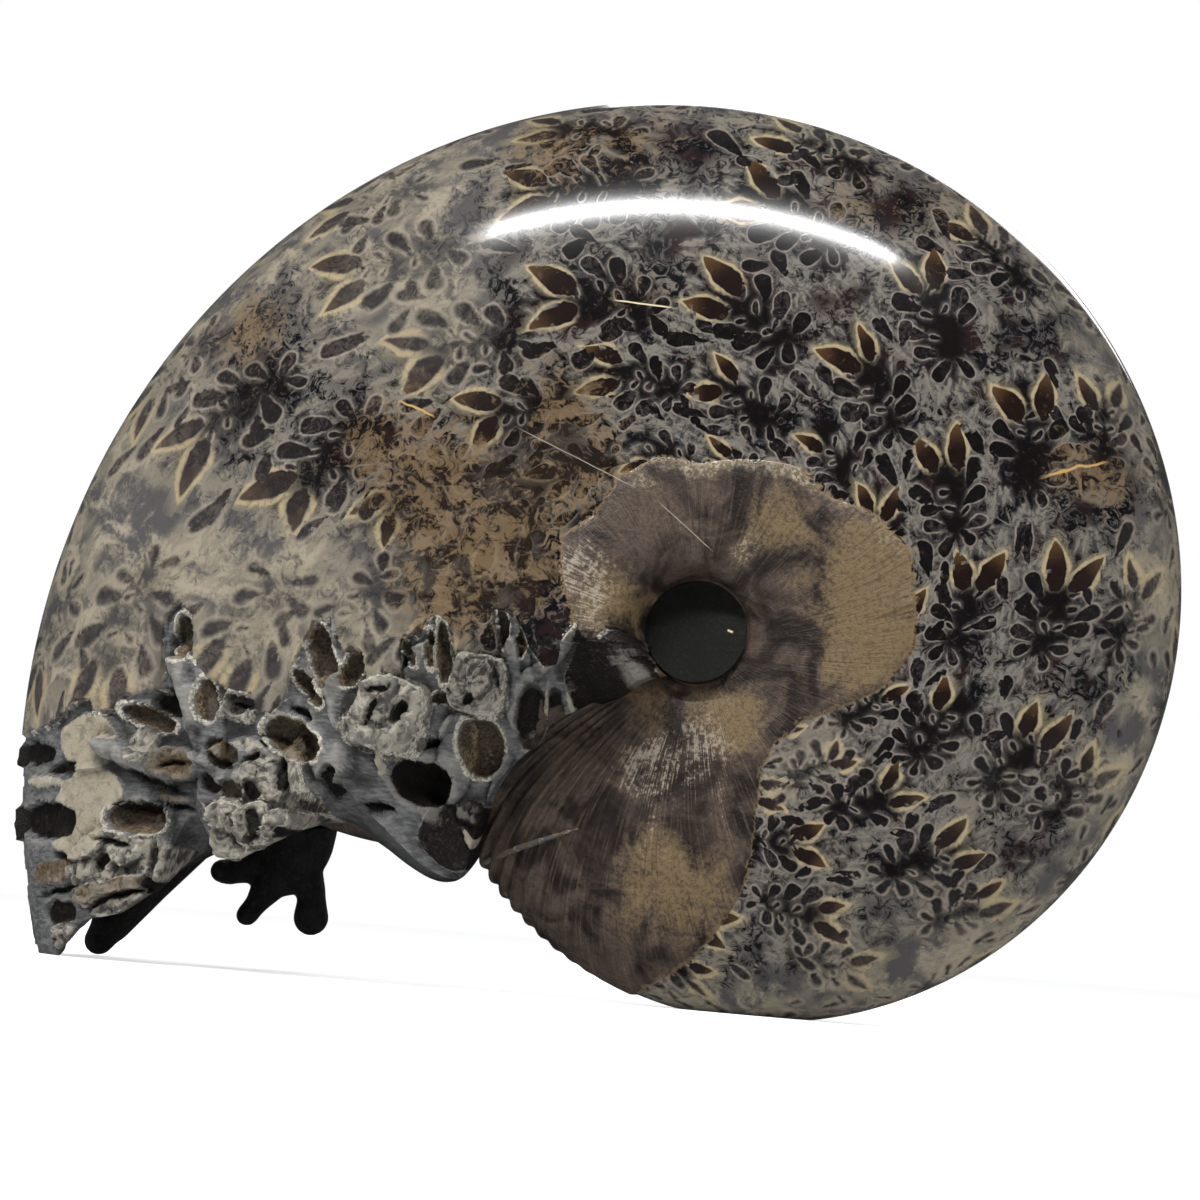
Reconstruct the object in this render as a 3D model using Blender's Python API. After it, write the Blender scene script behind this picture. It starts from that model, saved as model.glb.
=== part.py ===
"""A large polished ammonite that stands on its rim and on its broken end.

The fossil is one solid. Its rim and its thickness grow by the same rate as the coil
turns, so each section of the outer whorl is the last one, larger. The coiling axis runs
along Y, the near flank faces -Y, and the ground is at z = 0.
"""

import math

import bmesh
import bpy
from mathutils import Matrix, Vector

# The coil: metres, and degrees about the coiling axis from +X towards +Z.
GROWTH_PER_RADIAN = 0.1518
RIM_RADIUS_AT_X = 0.07157
AXIS_X = 0.02212
AXIS_HEIGHT = 0.05604
HALF_THICKNESS = 0.031
HALF_THICKNESS_ANGLE = 195.0

# The whorl's section, as shares of the rim radius.
THICKEST_SHARE = 0.33
SHOULDER_SHARE = 0.145
SHOULDER_DROP = 0.07
FLANK_POWER = 2.5
INNER_FLANK_SHARE = 0.24
FLANK_STEPS = (15, 28, 41, 53, 63, 72, 80, 85.5)

# The stone that fills the umbilicus.
PLUG_RADIUS = 0.0078
PLUG_HEIGHT = 0.016
PLUG_OFFSET = (-0.0006, 0.0021)
PLUG_LIP = 0.001
SHOULDER_GAP = 0.002

# Where the outer whorl begins and where it is broken off.
START_ANGLE = -150.0
START_ANGLE_AT_RIM = -138.0
NEAR_BREAK_ANGLE = 199.0
FAR_BREAK_ANGLE = 204.0
RIM_BREAK_ANGLE = 206.5
RINGS = 90
SHIFTED_RINGS = 5
SEPTUM_RINGS = 4
SEPTUM_HOLLOW = 3.5

# Lumps of stone along the broken edge: side (-1 is the near flank), then radius and angle
# from the axis, length along the coil, width and depth, in mm and degrees.
NEAR, FAR = -1, 1
LUMPS = (
    (NEAR, 104.0, 201.5, 17.0, 12.0, 12.0),
    (NEAR, 90.0, 199.5, 15.0, 11.0, 13.0),
    (NEAR, 74.0, 201.5, 24.0, 11.0, 14.0),
    (NEAR, 60.0, 199.0, 15.0, 9.0, 12.0),
    (NEAR, 47.5, 202.0, 17.0, 10.0, 13.0),
    (NEAR, 30.5, 197.5, 12.0, 8.0, 11.0),
    (NEAR, 16.0, 199.0, 9.0, 9.0, 12.0),
    (FAR, 104.0, 203.0, 15.0, 9.0, 12.0),
    (FAR, 93.5, 206.5, 20.0, 11.0, 14.0),
    (FAR, 85.0, 207.5, 25.0, 9.0, 14.0),
    (FAR, 62.0, 209.0, 14.0, 7.0, 12.0),
    (FAR, 46.0, 205.0, 17.0, 10.0, 12.0),
    (FAR, 29.0, 203.0, 12.0, 9.0, 11.0),
)
LUMP_SINK = 0.45

# The two low points that the broken end rests on: radius, angle and distance from the
# middle plane, then length along the coil, width and depth.
LOW_POINTS = (
    (119.0, 203.3, -9.5, 21.4, 6.5, 8.0),
    (117.0, 203.5, 11.5, 22.2, 8.0, 9.0),
)

# Hollows worn into the flanks above the broken edge, in the terms of the lumps.
HOLLOWS = (
    (NEAR, 94.0, 195.0, 15.0, 6.0, 7.0),
    (NEAR, 82.0, 190.0, 25.0, 6.0, 7.0),
    (NEAR, 67.0, 193.0, 13.0, 5.0, 6.0),
    (NEAR, 57.0, 191.0, 16.0, 5.0, 7.0),
    (NEAR, 39.0, 190.0, 13.0, 5.0, 7.0),
    (NEAR, 25.0, 190.0, 9.0, 5.0, 6.0),
    (FAR, 98.0, 197.0, 16.0, 6.0, 7.0),
    (FAR, 77.0, 196.0, 20.0, 6.0, 7.0),
    (FAR, 56.0, 197.0, 15.0, 6.0, 7.0),
    (FAR, 38.0, 194.0, 13.0, 6.0, 7.0),
)

# The rim and the two low points are ground flat on one plane.
GROUND_SIZE = 0.4
GROUND_DEPTH = 0.05

STONE_COLOUR = (0.075, 0.060, 0.052, 1.0)
STONE_ROUGHNESS = 0.12
SHARP_EDGE = 40.0
MM = 0.001


def smooth_step(value):
    value = min(max(value, 0.0), 1.0)
    return value * value * (3.0 - 2.0 * value)


def rim_radius(degrees):
    return RIM_RADIUS_AT_X * math.exp(GROWTH_PER_RADIAN * math.radians(degrees))


def half_thickness(degrees):
    turned = math.radians(degrees - HALF_THICKNESS_ANGLE)
    return HALF_THICKNESS * math.exp(GROWTH_PER_RADIAN * turned)


def plug_edge(degrees):
    """Distance from the coiling axis to the edge of the plug, in one direction."""
    angle = math.radians(degrees)
    along = PLUG_OFFSET[0] * math.cos(angle) + PLUG_OFFSET[1] * math.sin(angle)
    aside_squared = PLUG_OFFSET[0] ** 2 + PLUG_OFFSET[1] ** 2 - along**2
    return along + math.sqrt(PLUG_RADIUS**2 - aside_squared)


def flank_height(share, degrees):
    """Distance of the flank from the middle plane, outside the umbilicus."""
    if share > THICKEST_SHARE:
        outward = (share - THICKEST_SHARE) / (1.0 - THICKEST_SHARE)
        return half_thickness(degrees) * math.sqrt(max(1.0 - outward**FLANK_POWER, 0.0))
    inward = (THICKEST_SHARE - share) / (THICKEST_SHARE - SHOULDER_SHARE)
    return half_thickness(degrees) * (1.0 - SHOULDER_DROP * inward**2)


def half_section(degrees):
    """Radius and height of each point of one flank, from the plug's edge to the rim."""
    rim = rim_radius(degrees)
    edge = plug_edge(degrees)
    foot = min(PLUG_HEIGHT - PLUG_LIP, 0.9 * half_thickness(degrees))
    shoulder = max(SHOULDER_SHARE * rim, edge + SHOULDER_GAP)
    points = [(edge, PLUG_HEIGHT), (edge + PLUG_LIP / 2, foot)]
    points.append((shoulder, flank_height(shoulder / rim, degrees)))
    outward = [math.sin(math.radians(step)) for step in FLANK_STEPS]
    shares = [INNER_FLANK_SHARE, THICKEST_SHARE]
    shares += [THICKEST_SHARE + (1.0 - THICKEST_SHARE) * t for t in outward]
    points += [(share * rim, flank_height(share, degrees)) for share in shares]
    return points


def break_angle(share, side):
    """Angle at which the whorl is broken off, for a point of its section."""
    flank = NEAR_BREAK_ANGLE if side < 0 else FAR_BREAK_ANGLE
    return flank + (RIM_BREAK_ANGLE - flank) * smooth_step((share - 0.75) / 0.25)


def start_angle(share):
    return START_ANGLE + (START_ANGLE_AT_RIM - START_ANGLE) * smooth_step((share - 0.4) / 0.6)


def ring_angle(ring, share, side):
    """Angle of one section point: the first and last rings follow the broken edges."""
    base_end = NEAR_BREAK_ANGLE
    angle = START_ANGLE + (base_end - START_ANGLE) * ring / RINGS
    from_start = smooth_step(1.0 - ring / SHIFTED_RINGS)
    from_end = smooth_step(1.0 - (RINGS - ring) / SHIFTED_RINGS)
    angle += (start_angle(share) - START_ANGLE) * from_start
    return angle + (break_angle(share, side) - base_end) * from_end


def section_ring(ring):
    """Radius, height and angle round a section, from the near plug to the far plug."""
    base = START_ANGLE + (NEAR_BREAK_ANGLE - START_ANGLE) * ring / RINGS
    near = []
    far = []
    for step in range(len(half_section(base))):
        for side, points in ((-1, near), (1, far)):
            share = half_section(base)[step][0] / rim_radius(base)
            angle = ring_angle(ring, share, side)
            radius, height = half_section(angle)[step]
            points.append((radius, side * height, angle))
    rim_angle = ring_angle(ring, 1.0, 1)
    return near + [(rim_radius(rim_angle), 0.0, rim_angle)] + far[::-1]


def septum_ring(share, outer, inner):
    """A ring of the broken face, between the broken edge and the whorl inside it."""
    points = []
    for (r0, y0, a0), (r1, y1, a1) in zip(outer, inner):
        hollow = SEPTUM_HOLLOW * math.sin(math.pi * share) * smooth_step((r0 - r1) / 0.03)
        angle = a0 + (a1 + 360.0 - a0) * share**1.5 - hollow
        radius = r0 + (r1 - r0) * share
        points.append((radius, y0 + (y1 - y0) * share, angle))
    return points


def place(radius, y, degrees):
    angle = math.radians(degrees)
    return Vector((AXIS_X + radius * math.cos(angle), y, AXIS_HEIGHT + radius * math.sin(angle)))


def loft_shell():
    """The fossil as a closed loft: once round the coil, then back across the break."""
    rings = [section_ring(ring) for ring in range(RINGS + 1)]
    for step in range(1, SEPTUM_RINGS + 1):
        rings.append(septum_ring(step / (SEPTUM_RINGS + 1), rings[RINGS], rings[0]))
    mesh = bpy.data.meshes.new("ammonite")
    shell = bmesh.new()
    near_pole = shell.verts.new((AXIS_X, -PLUG_HEIGHT, AXIS_HEIGHT))
    far_pole = shell.verts.new((AXIS_X, PLUG_HEIGHT, AXIS_HEIGHT))
    loops = [[shell.verts.new(place(*point)) for point in ring] for ring in rings]
    for index, loop in enumerate(loops):
        following = loops[(index + 1) % len(loops)]
        shell.faces.new((near_pole, loop[0], following[0]))
        shell.faces.new((far_pole, following[-1], loop[-1]))
        for step in range(len(loop) - 1):
            corners = (loop[step], loop[step + 1], following[step + 1], following[step])
            shell.faces.new(corners)
    bmesh.ops.triangulate(shell, faces=shell.faces[:])
    bmesh.ops.recalc_face_normals(shell, faces=shell.faces[:])
    shell.to_mesh(mesh)
    shell.free()
    return mesh


def add_object(name, mesh, collection):
    thing = bpy.data.objects.new(name, mesh)
    collection.objects.link(thing)
    return thing


def add_tool(name, mesh, collection):
    """An object that only shapes the fossil."""
    tool = add_object(name, mesh, collection)
    tool.hide_render = True
    tool.display_type = "WIRE"
    return tool


def on_flank(side, radius, degrees, sink):
    """Distance from the middle plane of a point that lies under one flank, in mm."""
    height = flank_height(radius * MM / rim_radius(degrees), degrees)
    return side * (height / MM - sink)


def ellipsoid(radius, degrees, y, length, width, depth):
    """A rounded lump, long along the coil, in mm and degrees from the axis."""
    mesh = bpy.data.meshes.new("lump")
    lump = bmesh.new()
    bmesh.ops.create_icosphere(lump, subdivisions=2, radius=0.5)
    size = Matrix.Diagonal((width * MM, depth * MM, length * MM, 1.0))
    turn = Matrix.Rotation(-math.radians(degrees), 4, "Y")
    spot = Matrix.Translation(place(radius * MM, y * MM, degrees))
    bmesh.ops.transform(lump, matrix=spot @ turn @ size, verts=lump.verts)
    lump.to_mesh(mesh)
    lump.free()
    return mesh


def ground_block():
    mesh = bpy.data.meshes.new("ground")
    block = bmesh.new()
    bmesh.ops.create_cube(block, size=1.0)
    size = Matrix.Diagonal((GROUND_SIZE, GROUND_SIZE, GROUND_DEPTH, 1.0))
    spot = Matrix.Translation((0.0, 0.0, -GROUND_DEPTH / 2))
    bmesh.ops.transform(block, matrix=spot @ size, verts=block.verts)
    block.to_mesh(mesh)
    block.free()
    return mesh


def shape_with(thing, tools, operation):
    for tool in tools:
        step = thing.modifiers.new(tool.name, "BOOLEAN")
        step.operation = operation
        step.object = tool
        step.solver = "EXACT"


def stone_material():
    stone = bpy.data.materials.new("polished_fossil")
    stone.use_nodes = True
    shader = stone.node_tree.nodes["Principled BSDF"]
    shader.inputs["Base Color"].default_value = STONE_COLOUR
    shader.inputs["Roughness"].default_value = STONE_ROUGHNESS
    shader.inputs["Metallic"].default_value = 0.0
    return stone


def clear_scene():
    for thing in list(bpy.data.objects):
        bpy.data.objects.remove(thing)


def build():
    clear_scene()
    parts = bpy.data.collections.new("ammonite")
    tools = bpy.data.collections.new("cutters")
    for collection in (parts, tools):
        bpy.context.scene.collection.children.link(collection)
    fossil = add_object("ammonite", loft_shell(), parts)
    fossil.data.materials.append(stone_material())
    fossil.data.shade_smooth()
    fossil.data.set_sharp_from_angle(angle=math.radians(SHARP_EDGE))
    lumps = []
    for side, radius, degrees, length, width, depth in LUMPS:
        y = on_flank(side, radius, degrees, LUMP_SINK * depth)
        mesh = ellipsoid(radius, degrees, y, length, width, depth)
        lumps.append(add_tool(f"lump_{len(lumps) + 1}", mesh, tools))
    for sizes in LOW_POINTS:
        lumps.append(add_tool(f"lump_{len(lumps) + 1}", ellipsoid(*sizes), tools))
    hollows = []
    for side, radius, degrees, length, width, depth in HOLLOWS:
        y = on_flank(side, radius, degrees, 0.0)
        mesh = ellipsoid(radius, degrees, y, length, width, depth)
        hollows.append(add_tool(f"hollow_{len(hollows) + 1}", mesh, tools))
    ground = add_tool("ground_cut", ground_block(), tools)
    shape_with(fossil, lumps, "UNION")
    shape_with(fossil, hollows + [ground], "DIFFERENCE")


build()
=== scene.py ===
# %% [markdown]
# # A polished ammonite, broken off at a septum
#
# The real fossil is one stone. A coiled shell was filled with mud and with calcite, and its
# flanks were ground and polished until the folded edges of the inner walls showed as leaf
# shapes. This notebook builds what the eye sees of it: the polished coil with its leaves,
# the brown shell that is left round the middle, and the broken end with its grey wall.
#
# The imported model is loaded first. It is the fixed frame that every piece has to fit.

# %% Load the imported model
import math

import bpy
import numpy as np
from mathutils import Matrix, Vector, noise


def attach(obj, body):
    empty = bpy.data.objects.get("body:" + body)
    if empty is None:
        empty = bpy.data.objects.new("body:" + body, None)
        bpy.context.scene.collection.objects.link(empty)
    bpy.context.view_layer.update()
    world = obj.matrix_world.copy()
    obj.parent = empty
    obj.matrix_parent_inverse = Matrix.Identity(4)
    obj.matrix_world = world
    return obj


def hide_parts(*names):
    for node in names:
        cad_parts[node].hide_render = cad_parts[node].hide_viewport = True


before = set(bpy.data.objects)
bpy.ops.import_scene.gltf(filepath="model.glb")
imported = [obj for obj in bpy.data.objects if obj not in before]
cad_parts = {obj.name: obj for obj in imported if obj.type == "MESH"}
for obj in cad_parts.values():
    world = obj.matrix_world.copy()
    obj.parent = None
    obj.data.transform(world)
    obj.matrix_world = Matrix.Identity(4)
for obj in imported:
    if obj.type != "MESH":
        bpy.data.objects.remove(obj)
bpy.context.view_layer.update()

# %% [markdown]
# ## The rule of the coil
#
# Each part of an ammonite is a larger copy of the part before it. So the radius of the rim
# and the thickness of the coil both grow by the same share for each degree of turn. Two
# short functions hold that rule, and everything below is measured with them. Angles are in
# degrees about the coiling axis, from +X towards +Z, and the near flank faces -Y.

# %% The coil's measures
MM = 0.001
GROWTH_PER_RADIAN = 0.1518
RIM_RADIUS_AT_X = 71.57
AXIS_X = 22.12
AXIS_HEIGHT = 56.04
HALF_THICKNESS_SHARE = 0.25838
THICKEST_SHARE = 0.33
SHOULDER_SHARE = 0.145
SHOULDER_DROP = 0.07
FLANK_POWER = 2.5
NEAR, FAR = -1, 1


def smooth_step(value):
    value = np.clip(value, 0.0, 1.0)
    return value * value * (3.0 - 2.0 * value)


def rim_radius(degrees):
    return RIM_RADIUS_AT_X * np.exp(GROWTH_PER_RADIAN * np.radians(degrees))


def flank_height(share, degrees):
    """Distance of the flank from the middle plane, in mm, at a share of the rim's radius."""
    half = HALF_THICKNESS_SHARE * rim_radius(degrees)
    outward = np.clip((share - THICKEST_SHARE) / (1.0 - THICKEST_SHARE), 0.0, 1.0)
    inward = np.clip((THICKEST_SHARE - share) / (THICKEST_SHARE - SHOULDER_SHARE), 0.0, None)
    return half * np.sqrt(1.0 - outward**FLANK_POWER) * (1.0 - SHOULDER_DROP * inward**2)


def place(radius, y, degrees):
    """A point in metres on or above the ground, from its distance and angle about the axis
    and its depth, in mm."""
    angle = np.radians(degrees)
    x = AXIS_X + radius * np.cos(angle)
    z = np.maximum(AXIS_HEIGHT + radius * np.sin(angle), 0.0)
    return np.stack(np.broadcast_arrays(x, y, z), axis=-1) * MM


print("rim radius at the broken end: %.1f mm" % rim_radius(206.5))

# %% [markdown]
# ## Camera, floor and light
#
# The photograph looks almost square at one flank, from a low stand, with a long lens. The
# floor is a plain pale sheet. Polished stone shows its form by what it mirrors, so a long
# soft strip hangs above the front for the one bright line along the top of the flank, and
# two large weak lights fill the rest.

# %% The camera
CAMERA_PLACE = (0.09638, -0.41598, 0.0098)
CAMERA_AIM = (0.00217, 0.0, 0.06442)
CAMERA_ROLL = 4.77
FOCAL_PIXELS = 2640.6
PICTURE_PIXELS = 1200
SENSOR = 36.0


def aim(thing, target, roll=0.0):
    """Turns a camera or a light so that it looks at the target."""
    look = (Vector(target) - thing.location).to_track_quat("-Z", "Y").to_matrix()
    thing.rotation_euler = (look @ Matrix.Rotation(math.radians(roll), 3, "Z")).to_euler()


bpy.ops.object.select_all(action="DESELECT")
bpy.ops.object.camera_add(location=CAMERA_PLACE)
camera = bpy.context.object
camera.name = "camera"
camera.data.sensor_width = SENSOR
camera.data.lens = FOCAL_PIXELS / PICTURE_PIXELS * SENSOR
camera.data.clip_start = 0.01
aim(camera, CAMERA_AIM, CAMERA_ROLL)
bpy.context.scene.camera = camera
print("lens: %.1f mm" % camera.data.lens)

# %% [markdown]
# The broken end has no rule that a formula could follow, so its pieces are measured in the
# photograph. Two functions go from a place in space to a place in the picture and back.

# %% From space to the picture and back
CAMERA_AXES = np.array(camera.rotation_euler.to_matrix())


def in_picture(points):
    """Where points given in metres appear, in pixels of the square picture."""
    seen = (points - np.array(CAMERA_PLACE)) @ CAMERA_AXES
    ahead = -seen[..., 2]
    across = PICTURE_PIXELS / 2 + FOCAL_PIXELS * seen[..., 0] / ahead
    down = PICTURE_PIXELS / 2 - FOCAL_PIXELS * seen[..., 1] / ahead
    return across, down


def at_picture(across, down, depth_y):
    """The point in metres that appears at a place in the picture and lies at a depth in mm."""
    half = PICTURE_PIXELS / 2
    ray = CAMERA_AXES @ np.array([(across - half) / FOCAL_PIXELS, (half - down) / FOCAL_PIXELS, -1.0])
    away = (depth_y * MM - CAMERA_PLACE[1]) / ray[1]
    return np.array(CAMERA_PLACE) + ray * away


print("the axis appears at", [round(float(v)) for v in in_picture(place(0.0, -16.0, 0.0))])

# %% The floor
FLOOR_SIZE = 12.0
FLOOR_GLOW = (0.58, 0.58, 0.58, 1.0)


def paper_material():
    """Pale paper. For the eye alone it glows a little, so that it meets the room unseen."""
    paper = bpy.data.materials.new("pale_paper")
    paper.use_nodes = True
    tree = paper.node_tree
    shader = tree.nodes["Principled BSDF"]
    shader.inputs["Base Color"].default_value = (0.86, 0.86, 0.86, 1)
    shader.inputs["Roughness"].default_value = 0.9
    shader.inputs["Emission Strength"].default_value = 1.0
    glow = tree.nodes.new("ShaderNodeMix")
    glow.data_type = "RGBA"
    colours = [socket for socket in glow.inputs if socket.enabled and socket.type == "RGBA"]
    colours[0].default_value, colours[1].default_value = (0, 0, 0, 1), FLOOR_GLOW
    eye = tree.nodes.new("ShaderNodeLightPath").outputs["Is Camera Ray"]
    tree.links.new(eye, glow.inputs["Factor"])
    tree.links.new([s for s in glow.outputs if s.enabled][0], shader.inputs["Emission Color"])
    return paper


bpy.ops.mesh.primitive_plane_add(size=FLOOR_SIZE)
floor = bpy.context.object
floor.name = "floor"
floor.visible_glossy = False
floor.data.materials.append(paper_material())

# %% The lights
LIGHTS = (
    ("strip", (-0.03, -0.42, 0.58), (0.0, -0.02, 0.07), (0.46, 0.030), 3.4, True),
    ("front_left", (-0.75, -0.75, 0.75), (0.0, 0.0, 0.07), (0.5, 0.5), 6.5, False),
    ("front_right", (0.95, -0.75, 0.75), (0.0, 0.0, 0.07), (0.35, 0.35), 1.6, False),
    ("behind", (0.1, 0.9, 0.8), (0.0, 0.0, 0.07), (0.8, 0.5), 5.0, True),
)
for name, spot, target, size, watts, mirrored in LIGHTS:
    bpy.ops.object.light_add(type="AREA", location=spot)
    light = bpy.context.object
    light.name = name
    light.data.shape = "RECTANGLE"
    light.data.size, light.data.size_y = size
    light.data.energy = watts
    light.visible_glossy = mirrored
    aim(light, target)

# %% [markdown]
# The room is white for the eye, greyer as a light, and dark for the mirror of the polish, as
# in a studio where black cloth hangs beside the camera.

# %% The room
ROOM_LIGHT = (0.50, 0.505, 0.51, 1.0)
ROOM_SEEN = (1.0, 1.0, 1.0, 1.0)
ROOM_MIRRORED = (0.04, 0.042, 0.045, 1.0)

world = bpy.data.worlds.new("studio")
bpy.context.scene.world = world
world.use_nodes = True
sky = world.node_tree
rays = sky.nodes.new("ShaderNodeLightPath")
colour_now = None
for ray_kind, room_colour in (("Is Glossy Ray", ROOM_MIRRORED), ("Is Camera Ray", ROOM_SEEN)):
    grade = sky.nodes.new("ShaderNodeMix")
    grade.data_type = "RGBA"
    if colour_now is None:
        grade.inputs["A"].default_value = ROOM_LIGHT
    else:
        sky.links.new(colour_now, grade.inputs["A"])
    grade.inputs["B"].default_value = room_colour
    sky.links.new(rays.outputs[ray_kind], grade.inputs["Factor"])
    colour_now = [socket for socket in grade.outputs if socket.enabled][0]
sky.links.new(colour_now, sky.nodes["Background"].inputs["Color"])
bpy.context.scene.view_settings.view_transform = "Standard"
print("lights:", [row[0] for row in LIGHTS])

# %% [markdown]
# ## The coil
#
# The coil is a closed shape with no hole, so a sphere already has the right layout of faces:
# its poles lie on the coiling axis, its meridians become sections of the coil, and its rings
# become lines that run along the coil. The sphere is added with enough faces for fine relief,
# and each of its points is then moved to its place by the rule of the coil. Most meridians
# follow the coil, and the last ones come back inside the broken end.
#
# Each ring has a name for its zone: the plug of stone in the umbilicus, the wall round it,
# or the flank.

# %% The layout of the sphere
COIL_SEGMENTS = 540
BREAK_SEGMENTS = 40
RING_COUNTS = ((NEAR, 7, 8, 74), (FAR, 5, 6, 50))
PLUG, WALL, FLANK = 0, 1, 2


def arc_table():
    """Shares of the rim's radius, and the length of the section's curve from the rim to each."""
    share = np.linspace(SHOULDER_SHARE, 1.0, 4000)
    height = flank_height(share, 0.0) / rim_radius(0.0)
    steps = np.hypot(np.diff(share), np.diff(height))
    walked = np.concatenate([[0.0], np.cumsum(steps)])
    return share, walked[-1] - walked


SHARES, ARCS = arc_table()


def arc_of(share):
    return np.interp(share, SHARES, ARCS)


def side_rings(side, plug, wall, flank):
    """Side, zone and step of the rings of one side, from the pole to the rim."""
    rows = [(side, PLUG, step / plug) for step in range(plug + 1)] if plug else []
    rows += [(side, WALL, step / wall) for step in range(1 if plug else 0, wall + 1)]
    arcs = np.linspace(ARCS[0], 0.0, flank + 1)[1:]
    shares = np.interp(arcs, ARCS[::-1], SHARES[::-1])
    return rows + [(side, FLANK, (s - SHOULDER_SHARE) / (1.0 - SHOULDER_SHARE)) for s in shares]


def ring_layout(counts):
    near, far = (side_rings(*row) for row in counts)
    return near + far[-2::-1]


LAYOUT = ring_layout(RING_COUNTS)
RINGS = len(LAYOUT) - 1
SEGMENTS = COIL_SEGMENTS + BREAK_SEGMENTS
print("segments:", SEGMENTS, "rings:", RINGS, "triangles:", 2 * SEGMENTS * (RINGS - 1))

# %% [markdown]
# The section of the coil is a flat plug, a steep wall with a rounded shoulder, and a long
# flank. The wall is a quadratic curve between the foot and the shoulder, which rounds the
# shoulder with three points and no extra sizes.

# %% The section of the coil
PLUG_RADIUS = 7.8
PLUG_HEIGHT = 16.0
PLUG_OFFSET = (-0.6, 2.1)
PLUG_LIP = 1.0
SHOULDER_GAP = 2.0


def plug_edge(degrees):
    """Distance from the coiling axis to the edge of the plug, in one direction."""
    angle = np.radians(degrees)
    along = PLUG_OFFSET[0] * np.cos(angle) + PLUG_OFFSET[1] * np.sin(angle)
    aside = PLUG_OFFSET[0] ** 2 + PLUG_OFFSET[1] ** 2 - along**2
    return along + np.sqrt(PLUG_RADIUS**2 - aside)


def section_point(zone, step, degrees):
    """Radius, height and share of the rim of one ring of the section, at some angles."""
    rim = rim_radius(degrees)
    edge = plug_edge(degrees)
    half = HALF_THICKNESS_SHARE * rim
    foot = np.minimum(PLUG_HEIGHT - PLUG_LIP, 0.9 * half)
    shoulder = np.maximum(SHOULDER_SHARE * rim, edge + SHOULDER_GAP)
    if zone == PLUG:
        return edge * step, PLUG_HEIGHT + 0.0 * edge, 0.0 * edge
    if zone == WALL:
        top = flank_height(shoulder / rim, degrees)
        first, middle, last = (1 - step) ** 2, 2 * step * (1 - step), step**2
        radius = first * (edge + 0.3) + middle * (edge + 0.6) + last * shoulder
        return radius, first * foot + middle * top + last * top, 0.0 * edge
    share = shoulder / rim + (1.0 - shoulder / rim) * step
    return share * rim, flank_height(share, degrees), share


# %% [markdown]
# ## Where the coil begins and where it stops
#
# The outer whorl grows out from under the brown shell at the lower left of the middle. After
# most of a turn it stops on a plane through the axis. From there a second piece takes over,
# the broken end, which needs far finer faces. Behind it the coil shrinks back to its start.

# %% The ends of the coil
START_ANGLE = -150.0
START_ANGLE_AT_RIM = -138.0
END_ANGLE = 175.0
START_SEGMENTS = 40


def start_angle(share):
    turn = START_ANGLE_AT_RIM - START_ANGLE
    return START_ANGLE + turn * smooth_step((share - 0.4) / 0.6)


def coil_angles(share):
    """Angles of all sections of the coil, along one ring."""
    step = np.arange(COIL_SEGMENTS + 1)
    angle = START_ANGLE + (END_ANGLE - START_ANGLE) * step / COIL_SEGMENTS
    from_start = smooth_step(1.0 - step / START_SEGMENTS)
    return angle + (start_angle(share) - START_ANGLE) * from_start


def break_points(start, end):
    """Points that lead back inside the broken end, from the end of a ring to its start."""
    step = np.arange(1, BREAK_SEGMENTS) / BREAK_SEGMENTS
    goal = (start[0], start[1], start[2] + 360.0)
    return [first + (last - first) * step for first, last in zip(end, goal)]


def coil_grid():
    """Radius, depth, angle and share of every point: one row for a segment, one column a ring."""
    grid = np.zeros((4, SEGMENTS, RINGS + 1))
    for ring, (side, zone, step) in enumerate(LAYOUT):
        share = SHOULDER_SHARE + (1.0 - SHOULDER_SHARE) * step if zone == FLANK else 0.1
        angle = coil_angles(share)
        radius, height, share_there = section_point(zone, step, angle)
        line = np.stack([radius, side * height, angle, share_there])
        back = break_points(line[:3, 0], line[:3, -1])
        grid[:, :COIL_SEGMENTS + 1, ring] = line
        grid[:3, COIL_SEGMENTS + 1:, ring] = back
    return grid


GRID = coil_grid()
print("thickness at the broken end: %.1f mm" % (2 * flank_height(0.33, 199)))

# %% [markdown]
# ## The brown shell and its relief
#
# Round the umbilicus the shell itself is left, about half a millimetre thick. Its outline is
# given as the radius that it reaches at some angles. Near the start of the whorl its surface
# has strong ribs, which also notch its outline under the broken end, and elsewhere it has
# fine growth lines. The relief is added to the points before they are placed.

# %% The brown shell and the ribs
SHELL_ANGLES = (-150, -105, -98, -88, -76, -67, -60, -48, -32, -20, -8, 3, 14, 26, 37, 50, 62, 76, 91,
                105, 118, 132, 146, 160, 172, 186, 200)
SHELL_RADII = (70, 62, 54, 48, 38, 27, 21.5, 19, 20, 24, 30, 33.5, 34, 35.5, 34, 30, 31, 29, 27, 28.5, 27,
               24, 25, 21, 18, 17, 17)
SHELL_THICKNESS = 0.45
SHELL_EDGE = 1.2
RIB_TURN = 3.1
RIB_DEPTH = 0.38
RIB_FADE_ANGLES = (-150, -128, -104)


def shell_depth(radius, degrees, side):
    """How far inside the brown shell's outline a point is, in mm, and below 0 outside it."""
    reach = np.interp(degrees, SHELL_ANGLES, SHELL_RADII)
    if side == FAR:
        reach = 0.8 * np.interp(degrees, SHELL_ANGLES, SHELL_RADII[::-1])
        reach = np.maximum(reach, 62.0 * smooth_step((-100.0 - degrees) / 22.0))
    return reach - radius


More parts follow.
